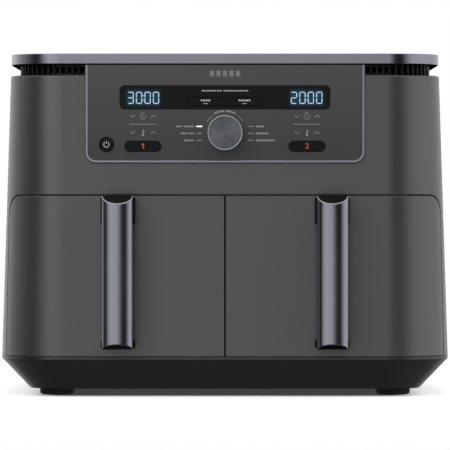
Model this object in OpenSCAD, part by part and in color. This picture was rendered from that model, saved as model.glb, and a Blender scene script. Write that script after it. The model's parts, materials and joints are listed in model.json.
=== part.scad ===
// Air fryer with two drawers side by side. Millimetres.
// X points right, the front faces -Y, Z points up and z = 0 is the worktop.

/* [Body] */
// Half width of the body at its base rim
rim_half = 207.5; // [205:0.5:210]
// Half width of the body under the vent neck
neck_half = 198.8; // [197:0.1:202]
// Distance from the middle to the front plane
front_depth = 134; // [132:0.5:136]
// Distance from the middle to the rear plane
rear_depth = 166; // [164:0.5:168]
// Wall of the housing
wall = 2.6; // [2:0.1:3]
// Height of the base rim
rim_z = 35; // [34:0.5:38]
// Height of the shoulder under the vent neck
shoulder_z = 295.5; // [295:0.5:296]
// Underside of the lid
lid_z = 305; // [304.5:0.5:306]
// Top of the lid
top_z = 315; // [313:1:318]

/* [Drawers] */
// Top of a drawer front
drawer_top = 184.3; // [183:0.1:185]
// Seam round a drawer front
seam = 1.4; // [1:0.1:2]
// Plane behind the drawer fronts
drawer_back = -99; // [-100:0.5:-98]
// Middle of each drawer, from the middle of the body
drawer_x = 98; // [97:0.5:99]
// Width of a basket
basket_w = 172; // [168:1:174]
// Underside of a basket
basket_z = 44; // [43:0.5:46]
// Rim of a basket
basket_top = 160; // [150:1:165]

/* [Handles] */
// Half the width of a handle
grip_r = 14.25; // [13:0.25:16]
// How far a handle's front bulges
grip_depth = 6.5; // [5:0.5:12]
// Front of the handles
handle_front = -176; // [-180:1:-172]
// Lower end of a handle
grip_low = 44.6; // [42:0.2:50]
// Upper end of a handle
grip_high = 184.2; // [180:0.2:186]

/* [Controls] */
// Half width of the control panel
panel_half = 128; // [125:1:130]
// Lower edge of the control panel
panel_low = 214.8; // [212:0.2:216]
// How far the panel stands proud
panel_proud = 2.9; // [2:0.1:3.5]
// Height of the dial's middle
dial_z = 242; // [240:0.5:243]
// Radius of the dial knob
dial_r = 16.1; // [15:0.1:17]
// Travel of a key
key_travel = 0.8; // [0.5:0.1:1]

/* [Hidden] */
$fn = 48;
EPS = 0.01;

// Body outline: the corner centres keep their X while the sides lean in.
front_cx = 148.8;
rear_cx = 168.8;
arc_steps = 10;
foot_r = 16;
foot_x = 156;
foot_front_y = -82;
foot_rear_y = 114;
foot_h = 6;
chamfer = 26.4;

front_y = -front_depth;
rear_y = rear_depth;
panel_y = front_y - panel_proud;
fan_y = 22;
chamber_back = 140;
chamber_floor = 40;
sheet_t = 0.6;
chamber_ceiling = 187;
chamber_half = 90;
duct_r = 78;
duct_top = 212;
deck_z = 213.5;
deck_t = 1;
frame_y = -98;
frame_t = 2.5;
stem_end = -131.5;
board_y = -125.6;
board_t = 1.6;
encoder_back = -118;
shaft_end = -128.1;
handle_y = handle_front + grip_depth;
cover_t = 2.2;
rear_end = 176;
gland_x = 96;
gland_z = 84;
gland_bore = 3.6;
rear_screws = [for (x = [-150, 0, 150], z = [62, 268]) [x, z]];
board_posts = [for (x = [-121.5, 121.5], z = [226, 286]) [x, z]];
foot_points = [for (x = [-foot_x, foot_x], y = [foot_front_y, foot_rear_y]) [x, y]];
zone_x = 75.3;
zone_z = 229.9;
power_x = -108.8;
power_z = 231.5;
power_r = 6.7;
window_z = 274.7;
sync_z = 270.9;

// ---- outlines ----

// The four corners of a rounded rectangle: side, edge in Y, radius and starting angle.
function corners(front, rear, front_r, rear_r) = [
    [1, rear, rear_r, 0], [-1, rear, rear_r, 90], [-1, front, front_r, 180], [1, front, front_r, 270]
];

// A rounded rectangle as points, anticlockwise: half width, front, rear and two corner radii.
function ring(half, front, rear, front_r, rear_r, n = arc_steps) = [
    for (c = corners(front, rear, front_r, rear_r))
        for (k = [0 : n])
            let (a = c[3] + 90 * k / n, r = c[2])
                [c[0] * (half - r) + r * cos(a), c[1] - sign(c[1]) * r + r * sin(a)]
];

function half_at(z) = rim_half - (z - rim_z) * (rim_half - neck_half) / (shoulder_z - rim_z);

function body_ring(z, t = 0) = ring(half_at(z) - t, front_y + t, rear_y - t,
    half_at(z) - front_cx - t, half_at(z) - rear_cx - t);

// A closed solid through level rings of equal count, given as [points, z] from the bottom up.
module loft(levels) {
    n = len(levels[0][0]);
    top = len(levels) - 1;
    points = [for (level = levels, p = level[0]) [p[0], p[1], level[1]]];
    sides = [for (i = [0 : top - 1], j = [0 : n - 1])
        let (k = (j + 1) % n) [i * n + j, (i + 1) * n + j, (i + 1) * n + k, i * n + k]];
    bottom_cap = [for (j = [0 : n - 1]) j];
    top_cap = [for (j = [n - 1 : -1 : 0]) top * n + j];
    polyhedron(points, concat(sides, [bottom_cap, top_cap]), convexity = 4);
}

module box(x0, x1, y0, y1, z0, z1) {
    translate([x0, y0, z0]) cube([x1 - x0, y1 - y0, z1 - z0]);
}

// A rounded rectangle standing in XZ, from y0 back to y1.
module plate(half_w, half_h, r, y0, y1, x = 0, z = 0, n = 6) {
    translate([x, y1, z]) rotate([90, 0, 0]) linear_extrude(y1 - y0)
        polygon(ring(half_w, -half_h, half_h, r, r, n));
}

// A rounded rectangle lying in XY.
module tray(half_w, y0, y1, r, z0, z1, x = 0, n = 6) {
    mid = (y0 + y1) / 2;
    translate([x, mid, z0]) linear_extrude(z1 - z0)
        polygon(ring(half_w, y0 - mid, y1 - mid, r, r, n));
}

module rod(r, y0, y1, x, z) {
    translate([x, y0, z]) rotate([-90, 0, 0]) cylinder(r = r, h = y1 - y0);
}

module post(r, z0, z1, x, y) {
    translate([x, y, z0]) cylinder(r = r, h = z1 - z0);
}

module mirrored() { mirror([1, 0, 0]) children(); }

// ---- base ----

module base_tray() {
    floor_t = 3;
    lip = 3;
    rear_r = rim_half - rear_cx - chamfer + 3;
    front_r = rim_half - front_cx - chamfer;
    sole = ring(rim_half - chamfer, front_y + chamfer, rear_y - chamfer, front_r, rear_r);
    color("#2c2d2e") difference() {
        union() {
            difference() {
                loft([
                    [sole, foot_h],
                    [body_ring(rim_z), rim_z - lip],
                    [body_ring(rim_z), rim_z]
                ]);
                loft([
                    [sole, foot_h + floor_t],
                    [body_ring(rim_z, floor_t), rim_z - lip],
                    [body_ring(rim_z, floor_t), rim_z + 1]
                ]);
            }
            for (p = foot_points) post(8, foot_h + floor_t, 24, p[0], p[1]);
            for (y = [-80, 20, 120]) box(-172, 172, y - 2, y + 2, foot_h + floor_t, chamber_floor - sheet_t);
        }
        for (p = foot_points) post(2, foot_h - 1, 25, p[0], p[1]);
    }
}

module rubber_feet() {
    color("#151515") for (p = foot_points) difference() {
        union() {
            post(foot_r - 1.5, 0, 1, p[0], p[1]);
            post(foot_r, 1, foot_h, p[0], p[1]);
        }
        post(5, -1, 3, p[0], p[1]);
        post(2.2, 2, foot_h + 1, p[0], p[1]);
    }
}

// One pan-head screw, its head at the origin and its shank along +Z.
module pan_screw(length, head_r = 3.8, head_h = 2.4, shank_r = 1.95) {
    difference() {
        union() {
            translate([0, 0, -head_h]) cylinder(r = head_r, h = head_h);
            cylinder(r = shank_r, h = length);
        }
        translate([0, 0, -head_h - EPS]) cylinder(r = 1.8, h = 1.4, $fn = 6);
    }
}

module case_screws() {
    color("#8a8c90") {
        for (p = foot_points) translate([p[0], p[1], 3]) pan_screw(14);
        for (p = rear_screws) translate([p[0], rear_y + cover_t, p[1]]) rotate([90, 0, 0]) pan_screw(12);
    }
}

// ---- housing ----

// The side profile of a drawer front, grown by g: a block whose upper rear edge is rounded.
module front_profile(g, x0, x1) {
    corner = 18 + g;
    back = drawer_back + g;
    top = drawer_top + g;
    arc = [for (k = [0 : 8], a = k * 11.25)
        [back - corner + corner * cos(a), top - corner + corner * sin(a)]];
    translate([x0, 0, 0]) rotate([90, 0, 90]) linear_extrude(x1 - x0)
        polygon(concat([[front_y - 10, rim_z - 5], [back, rim_z - 5]], arc, [[front_y - 10, top]]));
}

module housing_shell() {
    ledge = 14;
    color("#4a4a4b") difference() {
        union() {
            difference() {
                loft([[body_ring(rim_z), rim_z], [body_ring(shoulder_z), shoulder_z]]);
                loft([
                    [body_ring(rim_z, wall), rim_z - 1],
                    [body_ring(shoulder_z - wall, wall), shoulder_z - wall]
                ]);
                linear_extrude(top_z)
                    polygon(ring(neck_half - ledge, front_y + ledge, rear_y - ledge, 36, 16));
            }
            for (p = rear_screws) rod(4.6, rear_y - 11, rear_y - wall + EPS, p[0], p[1]);
            for (p = board_posts) rod(2.8, front_y + wall - EPS, board_y, p[0], p[1]);
        }
        front_profile(seam, -220, 220);
        plate(118.5, 33.8, 6, front_y - 5, front_y + wall + 1, 0, 255.8);
        plate(140, 95, 10, rear_y - wall - 1, rear_y + 5, 0, 165);
        for (p = rear_screws) rod(2, rear_y - 12, rear_y + 5, p[0], p[1]);
    }
}

module front_frame() {
    low = rim_z;
    high = 190;
    foot_half = 199.5;
    head_half = 195.9;
    color("#1c1d1e") {
        difference() {
            translate([0, frame_y + frame_t, 0]) rotate([90, 0, 0]) linear_extrude(frame_t)
                polygon([[-foot_half, low], [foot_half, low], [head_half, high], [-head_half, high]]);
            for (side = [-1, 1]) plate(chamber_half, 73, 4, frame_y - 1, frame_y + 5, side * drawer_x, 113);
            rod(2.5, frame_y - 1, frame_y + 5, -3.4, 176);
            rod(2.5, frame_y - 1, frame_y + 5, 3.4, 176);
        }
        difference() {
            linear_extrude(188)
                polygon(ring(half_at(188) - wall - 0.3, front_y + wall + 0.3, -frame_y, 51, 5));
            box(-210, 210, front_y, 110, -1, 186);
            box(-210, 210, frame_y, 110, 185, 190);
        }
    }
}

module rear_cover() {
    color("#3a3b3c") difference() {
        union() {
            plate(164, 116, 14, rear_y, rear_y + cover_t, 0, 165);
            for (x = [-128, 128], z = [85, 245]) rod(7, rear_y + cover_t - EPS, rear_end, x, z);
            for (x = [-128, 128], z = [85, 245]) rod(9, rear_y, rear_y + 4, x, z);
        }
        for (side = [-1, 1], k = [0 : 6])
            plate(34, 1.6, 1.6, rear_y - 1, rear_y + 5, side * drawer_x, 188 + 6 * k, 4);
        for (k = [0 : 4]) plate(60, 1.6, 1.6, rear_y - 1, rear_y + 5, 0, 96 + 8 * k, 4);
        for (p = rear_screws) rod(2.2, rear_y - 1, rear_y + 5, p[0], p[1]);
        rod(7, rear_y - 1, rear_y + 5, gland_x, gland_z);
    }
}

module cord_gland() {
    color("#202122") difference() {
        union() {
            rod(7, rear_y - EPS, rear_y + cover_t + EPS, gland_x, gland_z);
            rod(9, rear_y + cover_t, rear_y + cover_t + 2, gland_x, gland_z);
            rod(6.2, rear_y + cover_t, rear_end, gland_x, gland_z);
            rod(8.4, rear_y - 2.5, rear_y, gland_x, gland_z);
        }
        rod(gland_bore, rear_y - 10, rear_end + 5, gland_x, gland_z);
    }
}

// ---- neck and lid ----

rib_pitch = 5.75;
rib_t = 2;
rib_d = 3.5;
neck_inset = 9;

// Four points of a rib standing on the outline at p, along u, with outward normal m.
function rib(p, u, m) = [
    p - u * rib_t / 2 - m * rib_d, p - u * rib_t / 2, p + u * rib_t / 2, p + u * rib_t / 2 - m * rib_d
];

// Ribs round a rounded rectangle: those of each corner, then those of the straight run after it.
function ribs(half, front, rear, front_r, rear_r) = [
    for (c = corners(front, rear, front_r, rear_r))
        let (
            r = c[2],
            centre = [c[0] * (half - r), c[1] - sign(c[1]) * r],
            end = c[3] + 90,
            run = end % 180 == 90 ? 2 * (half - r) : rear - front - front_r - rear_r,
            n_arc = round(r * PI / 2 / rib_pitch),
            n_run = round(run / rib_pitch),
            along = [-sin(end), cos(end)],
            out = [cos(end), sin(end)]
        )
        each concat(
            [for (k = [0 : n_arc - 1], a = c[3] + 90 * (k + 0.5) / n_arc)
                each rib(centre + r * [cos(a), sin(a)], [-sin(a), cos(a)], [cos(a), sin(a)])],
            [for (k = [0 : n_run - 1], s = run * (k + 0.5) / n_run)
                each rib(centre + r * out + along * s, along, out)]
        )
];

module vent_neck() {
    half = neck_half - neck_inset;
    front = front_y + neck_inset;
    rear = rear_y - neck_inset;
    color("#161718") difference() {
        translate([0, 0, shoulder_z]) linear_extrude(lid_z - shoulder_z)
            polygon(ribs(half, front, rear, 41, 21));
        linear_extrude(top_z) polygon(ring(half - 5.5, front + 5.5, rear - 5.5, 35.5, 15.5));
        translate([0, 0, shoulder_z + 2]) linear_extrude(lid_z - shoulder_z - 4)
            polygon(ring(half - 3.4, front + 3.4, rear - 3.4, 37.6, 17.6));
    }
}

lid_half = 198;
lid_front = -136.5;
lid_wall = 3.2;

module lid_rim() {
    color("#85858f") difference() {
        loft([
            [ring(lid_half - 0.8, lid_front + 0.8, rear_y - 0.8, 46.2, 29.2), lid_z],
            [ring(lid_half, lid_front, rear_y, 47, 30), lid_z + 0.8],
            [ring(lid_half, lid_front, rear_y, 47, 30), top_z - 1.6],
            [ring(lid_half - 1.6, lid_front + 1.6, rear_y - 1.6, 45.4, 28.4), top_z]
        ]);
        translate([0, 0, lid_z - 1]) linear_extrude(top_z)
            polygon(ring(lid_half - lid_wall, lid_front + lid_wall, rear_y - lid_wall, 43.8, 26.8));
    }
}

module lid_panel() {
    t = lid_wall;
    color("#2b2c2e") difference() {
        translate([0, 0, lid_z]) linear_extrude(top_z - 1 - lid_z)
            polygon(ring(lid_half - t, lid_front + t, rear_y - t, 47 - t, 30 - t));
        translate([0, 0, lid_z - 1]) linear_extrude(top_z - 3.5 - lid_z)
            polygon(ring(lid_half - 15, lid_front + 15, rear_y - 12, 34, 18));
    }
}

// ---- control panel ----

// A panel outline with square top corners: half width, lower edge, corner radius and y range.
module panel_shape(half, low, r, y0, y1) {
    high = lid_z - 0.5;
    left_arc = [for (k = [0 : 8]) [-half + r - r * cos(k * 11.25), low + r - r * sin(k * 11.25)]];
    right_arc = [for (k = [8 : -1 : 0]) [half - r + r * cos(k * 11.25), low + r - r * sin(k * 11.25)]];
    translate([0, y1, 0]) rotate([90, 0, 0]) linear_extrude(y1 - y0)
        polygon(concat([[-half, high]], left_arc, right_arc, [[half, high]]));
}

trim_t = 2.1;

module control_fascia() {
    color("#4e4c4c") difference() {
        union() {
            panel_shape(panel_half - trim_t, panel_low + trim_t, 7.6, panel_y, front_y);
            box(-panel_half + 3, panel_half - 3, front_y - EPS, front_y + 7, shoulder_z, lid_z - 0.5);
        }
        plate(96.6, 11, 4.7, panel_y - 1, front_y + 1, 0, window_z);
        rod(power_r + 0.25, panel_y - 1, front_y + 1, power_x, power_z);
        for (side = [-1, 1]) plate(16.9, 4.95, 4.95, panel_y - 1, front_y + 1, side * zone_x, zone_z);
        rod(5, panel_y - 1, front_y + 1, 0, dial_z);
    }
}

module fascia_trim() {
    color("#a6a6ac") difference() {
        panel_shape(panel_half, panel_low, 9.7, panel_y - 0.3, front_y);
        panel_shape(panel_half - trim_t, panel_low + trim_t, 7.6, panel_y - 1, front_y + 1);
        box(-panel_half, panel_half, panel_y - 1, front_y + 1, lid_z - 0.5, lid_z + 5);
    }
}

module display_window() {
    color("#17191a") difference() {
        plate(96.5, 10.9, 4.6, panel_y - 0.3, front_y - 0.2, 0, window_z);
        plate(34.8, 4.1, 4.1, panel_y - 1, front_y + 1, 0, sync_z);
    }
}

module control_board() {
    color("#1f5a37") difference() {
        union() {
            box(-125, 125, board_y, board_y + board_t, 222, 290);
            for (x = [-60, 60]) box(x - 8, x + 8, board_y + board_t - EPS, board_y + board_t + 2, 240, 256);
            for (x = [-30, 30]) rod(4, board_y + board_t - EPS, board_y + 11, x, 232);
        }
        rod(6, board_y - 1, board_y + 5, 0, dial_z);
        for (p = board_posts) rod(1.2, board_y - 1, board_y + 5, p[0], p[1]);
    }
}

module display_modules() {
    digit_gap = 7.6;
    color("#9fd0e8") for (side = [-1, 1]) difference() {
        box(side * 75 - 19, side * 75 + 19, -132.5, board_y, 265.5, 283.5);
        for (k = [-1.5, -0.5, 0.5, 1.5])
            box(side * 75 + k * digit_gap - 2, side * 75 + k * digit_gap + 2, -133, -131.5, 268.7, 280);
    }
    color("#e8e8e8") for (side = [-1, 1], k = [-1, 0, 1])
        rod(1.5, -131.2, board_y, side * 23.5, 241.7 + k * 6.4);
}

module key_switches() {
    centres = concat([for (side = [-1, 1]) [side * zone_x, zone_z], for (side = [-1, 1]) [side * 17, sync_z]],
        [[power_x, power_z]]);
    color("#303236") for (p = centres) {
        box(p[0] - 3, p[0] + 3, -129.1, board_y, p[1] - 3, p[1] + 3);
        rod(1.6, stem_end + key_travel + 0.2, -129.1, p[0], p[1]);
    }
}

module encoder_body() {
    color("#7f8388") difference() {
        union() {
            box(-7, 7, -131, board_y, dial_z - 7, dial_z + 7);
            rod(4.6, front_y - 2, -131 + EPS, 0, dial_z);
            rod(5.6, board_y - EPS, encoder_back, 0, dial_z);
        }
        rod(3.1, front_y - 3, encoder_back - 1.5, 0, dial_z);
    }
}

// A key of stadium or part-stadium outline: child 0 is its cap's outline and child 1 its flange's.
module key(x, z) {
    translate([0, front_y + 0.6, 0]) rotate([90, 0, 0]) linear_extrude(panel_proud + 1.8) children(0);
    translate([0, front_y + 1.6, 0]) rotate([90, 0, 0]) linear_extrude(1) children(1);
    rod(1.5, front_y + 1.6 - EPS, stem_end, x, z);
}

module stadium(half_w, half_h, x, z) {
    translate([x, z]) polygon(ring(half_w, -half_h, half_h, half_h, half_h, 8));
}

module zone_key(x) {
    color("#141516") key(x, zone_z) {
        stadium(16.65, 4.7, x, zone_z);
        stadium(17.4, 5.6, x, zone_z);
    }
}

module zone_1_button() { zone_key(-zone_x); }
module zone_2_button() { zone_key(zone_x); }

module power_button() {
    color("#141516") key(power_x, power_z) {
        translate([power_x, power_z]) circle(r = power_r);
        translate([power_x, power_z]) circle(r = power_r + 1.1);
    }
}

// Half of the stadium between the two time displays.
module pair_key(side) {
    gap = 0.2;
    color("#101112") key(side * 17, sync_z) {
        intersection() {
            stadium(34.5, 3.8, 0, sync_z);
            translate([side > 0 ? gap : -40, sync_z - 10]) square([40 - gap, 20]);
        }
        intersection() {
            stadium(35.5, 4.6, 0, sync_z);
            translate([side > 0 ? gap : -40, sync_z - 10]) square([40 - gap, 20]);
        }
    }
}

module sync_key() { pair_key(-1); }
module match_key() { pair_key(1); }

// ---- dial ----

dial_front = -156;
dial_back = panel_y - 1.4;

module dial_knob() {
    color("#9a9aa0") difference() {
        union() {
            rod(dial_r, dial_front + 1, dial_back, 0, dial_z);
            rod(dial_r - 0.8, dial_front, dial_front + 1 + EPS, 0, dial_z);
        }
        rod(14.7, dial_front - 1, dial_front + 1.2, 0, dial_z);
        difference() {
            rod(dial_r - 1.8, dial_front + 4, dial_back + 1, 0, dial_z);
            rod(5, dial_front + 3, dial_back + 2, 0, dial_z);
        }
        rod(3, dial_front + 5, dial_back + 1, 0, dial_z);
    }
}

module dial_face() {
    color("#8f8f95") rod(14.7, dial_front + 0.4, dial_front + 1.2, 0, dial_z);
}

module encoder_shaft() {
    color("#b5b5b8") rod(3, dial_front + 5, shaft_end, 0, dial_z);
}

module encoder_plunger() {
    color("#d8d4c8") rod(3, shaft_end + 0.1, shaft_end + 6, 0, dial_z);
}

// ---- cooking zones, modelled on the right and mirrored for the left ----

module right_chamber() {
    t = sheet_t;
    in0 = drawer_x - chamber_half;
    in1 = drawer_x + chamber_half;
    color("#8c8e90") difference() {
        box(in0 - t, in1 + t, frame_y + frame_t, chamber_back + t, chamber_floor - t, chamber_ceiling + t);
        box(in0, in1, frame_y, chamber_back, chamber_floor, chamber_ceiling);
        post(60, chamber_ceiling - 1, chamber_ceiling + 5, drawer_x, fan_y);
        for (side = [-1, 1]) rod(3.4, chamber_back - 2, chamber_back + 3, drawer_x + side * 12, 178);
        rod(2.05, chamber_back - 2, chamber_back + 3, drawer_x + 40, 172);
    }
}

module right_heater() {
    color("#6c6a68") translate([drawer_x, fan_y, 178]) {
        difference() {
            union() {
                rotate_extrude() translate([66, 0]) circle(r = 3.25);
                rotate_extrude() translate([44, 0]) circle(r = 3.25);
                for (side = [-1, 1]) {
                    rod(3.2, 60, chamber_back - fan_y + 8, side * 12, 0);
                    rod(2.5, 32.5, 58.5, side * 30, 0);
                }
            }
            box(-11, 11, 56, 76, -5, 5);
        }
    }
}

module right_air_duct() {
    t = sheet_t;
    spout = 22;
    spout_low = 192;
    spout_high = 208;
    color("#9a9c9e") difference() {
        union() {
            post(duct_r, chamber_ceiling + t, duct_top, drawer_x, fan_y);
            box(drawer_x - spout, drawer_x + spout, fan_y + 60, rear_y - wall - 1, spout_low, spout_high);
        }
        post(duct_r - t, chamber_ceiling, duct_top - t, drawer_x, fan_y);
        box(drawer_x - spout + t, drawer_x + spout - t, fan_y + 50, rear_y, spout_low + t, spout_high - t);
        post(6, duct_top - 3, duct_top + 3, drawer_x, fan_y);
        box(drawer_x - 52, drawer_x - 44, fan_y - 4, fan_y + 4, duct_top - 3, duct_top + 1);
    }
}

module right_motor() {
    can_r = 28;
    can_low = 222;
    can_high = 258;
    color("#b4b6b8") difference() {
        union() {
            post(can_r, can_low, can_high, drawer_x, fan_y);
            post(9, can_low - 5, can_high + 4, drawer_x, fan_y);
            box(drawer_x - 40, drawer_x + 40, fan_y - 9, fan_y + 9, can_low - 2, can_low);
            for (side = [-1, 1]) post(4, deck_z + deck_t, can_low - 1, drawer_x + side * 36, fan_y);
        }
        post(2.55, can_low - 8, can_high - 4, drawer_x, fan_y);
    }
}

module right_fan_shaft() {
    color("#c8c8ca") post(2.5, 193, 253, drawer_x, fan_y);
}

module right_fan() {
    blades = 8;
    hub_r = 12;
    tip_r = 56;
    color("#a9abad") translate([drawer_x, fan_y, 194]) difference() {
        union() {
            cylinder(r = hub_r, h = 10);
            translate([0, 0, 9]) cylinder(r = tip_r, h = 1.2);
            for (k = [0 : blades - 1]) rotate([0, 0, k * 360 / blades]) rotate([0, 0, 18])
                box(hub_r - 4, tip_r - 2.5, -0.6, 0.6, 0, 9.5);
        }
        translate([0, 0, -2]) cylinder(r = 2.5, h = 20);
    }
}

module motor_deck() {
    color("#a2a4a6") difference() {
        union() {
            translate([0, 0, deck_z]) linear_extrude(deck_t) polygon(ring(197.8, -95, 158, 5, 28));
            for (side = [-1, 1], y = [-80, 130])
                post(5, chamber_ceiling + sheet_t, deck_z + EPS, side * 170, y);
        }
        for (side = [-1, 1]) post(20, deck_z - 1, deck_z + 5, side * drawer_x, fan_y);
        for (side = [-1, 1])
            box(side * drawer_x - 8 - side * 48, side * drawer_x + 8 - side * 48, fan_y - 8, fan_y + 8,
                deck_z - 1, deck_z + 5);
    }
}

module power_board() {
    low = 221;
    color("#23603c") {
        box(-44, 44, 10, 140, low, low + 1.6);
        for (x = [-38, 38], y = [16, 134]) post(3, deck_z + deck_t, low, x, y);
    }
    color("#2a2c30") {
        box(-36, -8, 24, 52, low + 1.6, low + 26);
        box(8, 27, 24, 40, low + 1.6, low + 17);
        box(8, 27, 48, 64, low + 1.6, low + 17);
        post(9, low + 1.6, low + 30, -20, 84);
        post(7, low + 1.6, low + 24, 18, 92);
        box(-30, 30, 120, 128, low + 1.6, low + 12);
    }
}

module temperature_probes() {
    color("#c9c9cc") for (side = [-1, 1]) {
        rod(2, chamber_back - 22, chamber_back + 9, side * (drawer_x + 40), 172);
        rod(4, chamber_back + sheet_t, chamber_back + 5, side * (drawer_x + 40), 172);
    }
}

module thermal_fuses() {
    color("#d2cfc6") for (side = [-1, 1])
        post(5, duct_top, duct_top + 7, side * (drawer_x - 48), fan_y);
}

module drawer_rails() {
    low = 152.5;
    high = 156.8;
    reach = 3.2;
    color("#77797b") for (side = [-1, 1], edge = [-1, 1]) {
        wall_x = side * drawer_x + edge * chamber_half;
        inner_x = wall_x - edge * reach;
        box(min(wall_x, inner_x), max(wall_x, inner_x), frame_y + frame_t, chamber_back - 2, low, high);
    }
}

module drawer_switches() {
    color("#1d1e20") for (side = [-1, 1]) {
        box(side * 3.4 - 2.8, side * 3.4 + 2.8, frame_y + frame_t, -78, 166, 186);
        rod(1.4, frame_y - 0.4, frame_y + frame_t + EPS, side * 3.4, 176);
    }
}

// ---- drawer ----

screw_low = 48;
screw_high = 171;
front_t = 3;

module right_drawer_front() {
    gap = 0.6;
    low = rim_z + 0.6;
    color("#4b4b4c") difference() {
        intersection() {
            loft([[body_ring(low), low], [body_ring(drawer_top), drawer_top]]);
            front_profile(0, gap, 220);
        }
        intersection() {
            loft([[body_ring(low, front_t), low + front_t],
                [body_ring(drawer_top - front_t, front_t), drawer_top - front_t]]);
            union() {
                front_profile(-front_t, gap + front_t, 220);
                box(gap + front_t, 220, drawer_back - 10, drawer_back + 5, low, 166);
            }
        }
        for (z = [screw_low, screw_high]) rod(2.2, front_y - 5, front_y + 8, drawer_x, z);
    }
}

module right_drawer_liner() {
    y0 = drawer_back - 4;
    y1 = drawer_back - 1;
    color("#2f3031") difference() {
        translate([0, y1, 0]) rotate([90, 0, 0]) linear_extrude(y1 - y0)
            polygon([[3.75, 40.6], [196.1, 40.6], [193.4, 166], [3.75, 166]]);
        for (side = [-1, 1]) rod(3, y0 - 1, y1 + 1, drawer_x + side * 60, 100);
    }
}

module right_basket() {
    t = 1.6;
    half = basket_w / 2;
    y0 = drawer_back - 1;
    y1 = 128;
    base_r = 8;
    mid = (y0 + y1) / 2;
    depth = (y1 - y0) / 2;
    levels = [0, 30, 60, 90];
    color("#39393b") translate([drawer_x, mid, 0]) difference() {
        union() {
            loft(concat(
                [for (a = levels) let (s = base_r * (1 - sin(a)))
                    [ring(half - s, -depth + s, depth - s, 22 - s, 22 - s, 6),
                        basket_z + base_r * (1 - cos(a))]],
                [[ring(half, -depth, depth, 22, 22, 6), basket_top]]));
            tray(half + 3.2, -depth, depth + 3, 6, basket_top - 2.4, basket_top);
        }
        loft(concat(
            [for (a = levels) let (s = t + (base_r - t) * (1 - sin(a)))
                [ring(half - s, -depth + s, depth - s, 22 - s, 22 - s, 6),
                    basket_z + t + (base_r - t) * (1 - cos(a))]],
            [[ring(half - t, -depth + t, depth - t, 22 - t, 22 - t, 6), basket_top + 1]]));
    }
}

module right_crisper_plate() {
    z = 60;
    half = basket_w / 2 - 5;
    color("#4a4a4c") difference() {
        union() {
            tray(half, drawer_back + 5, 123, 18, z, z + 2, drawer_x);
            difference() {
                tray(half, drawer_back + 5, 123, 18, z - 5, z, drawer_x);
                tray(half - 1.6, drawer_back + 6.6, 121.4, 16.4, z - 6, z + EPS, drawer_x);
            }
        }
        for (i = [-3 : 3], j = [-4 : 4]) if (abs(i) + abs(j) > 1 && abs(i) + abs(j) < 7)
            tray(3, 14.5 + j * 22 - 8, 14.5 + j * 22 + 8, 2.9, z - 1, z + 3, drawer_x + i * 20, 2);
        for (sx = [-1, 1], y = [drawer_back + 22, 106]) post(3, z - 1, z + 3, drawer_x + sx * (half - 14), y);
    }
}

module right_plate_bumpers() {
    z = 60;
    half = basket_w / 2 - 5;
    color("#1a1a1b") for (sx = [-1, 1], y = [drawer_back + 22, 106]) {
        x = drawer_x + sx * (half - 14);
        post(5, basket_z + 2, z, x, y);
        post(3, z - EPS, z + 2 + EPS, x, y);
        post(4.6, z + 2, z + 3.4, x, y);
    }
}

// The grip's side view, from its straight front back to the plane y1, with both ends cut aslant.
module grip_slab(y1, half_w, inset = 0) {
    slope_high = 7.7;
    slope_low = 4.8;
    front = handle_front + inset;
    translate([drawer_x - half_w, 0, 0]) rotate([90, 0, 90]) linear_extrude(2 * half_w)
        polygon([[front, grip_low + slope_low], [handle_y, grip_low], [y1, grip_low], [y1, grip_high],
            [handle_y, grip_high], [front, grip_high - slope_high]]);
}

cover_back = handle_front + 16;
cover_wall = 1.2;

// A half-oval bar, flattened towards the front
module grip_bar(inset, z0, z1) {
    r = grip_r - inset;
    translate([drawer_x, handle_y, 0]) scale([1, (grip_depth - inset) / r, 1]) post(r, z0, z1, 0, 0);
}

module right_handle_cover() {
    color("#8d8d95") difference() {
        intersection() {
            union() {
                grip_bar(0, 30, 200);
                box(drawer_x - grip_r, drawer_x + grip_r, handle_y, cover_back, 30, 200);
            }
            grip_slab(cover_back, 30);
        }
        grip_bar(cover_wall, 20, 210);
        box(drawer_x - grip_r + cover_wall, drawer_x + grip_r - cover_wall, handle_y, cover_back + 1,
            20, 210);
    }
}

module right_handle_core() {
    core_back = -155;
    half = grip_r + 1.4;
    r = grip_r - cover_wall;
    color("#1b1c1d") difference() {
        union() {
            intersection() {
                union() {
                    grip_bar(cover_wall, 30, 200);
                    box(drawer_x - r, drawer_x + r, handle_y, cover_back + EPS, 30, 200);
                }
                grip_slab(cover_back + 5, 30, cover_wall);
            }
            box(drawer_x - grip_r, drawer_x + grip_r, cover_back, core_back, grip_low, grip_high);
            intersection() {
                box(drawer_x - half, drawer_x + half, core_back - EPS, front_y,
                    grip_low - 0.4, grip_high - 0.2);
                translate([drawer_x - 30, 0, 0]) rotate([90, 0, 90]) linear_extrude(60) union() {
                    polygon([[core_back - 1, 200], [core_back - 1, 154], [core_back + 4, 160], [front_y, 164],
                        [front_y, 200]]);
                    polygon([[core_back - 1, 30], [front_y, 30], [front_y, 52], [core_back + 3, 53],
                        [core_back - 1, 57]]);
                }
            }
        }
        for (z = [screw_low, screw_high]) rod(2, core_back - 4, front_y + 1, drawer_x, z);
    }
}

module right_handle_screws() {
    color("#8a8c90") for (z = [screw_low, screw_high])
        translate([drawer_x, front_y + front_t, z]) rotate([90, 0, 0]) pan_screw(20, 3.6);
}

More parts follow.
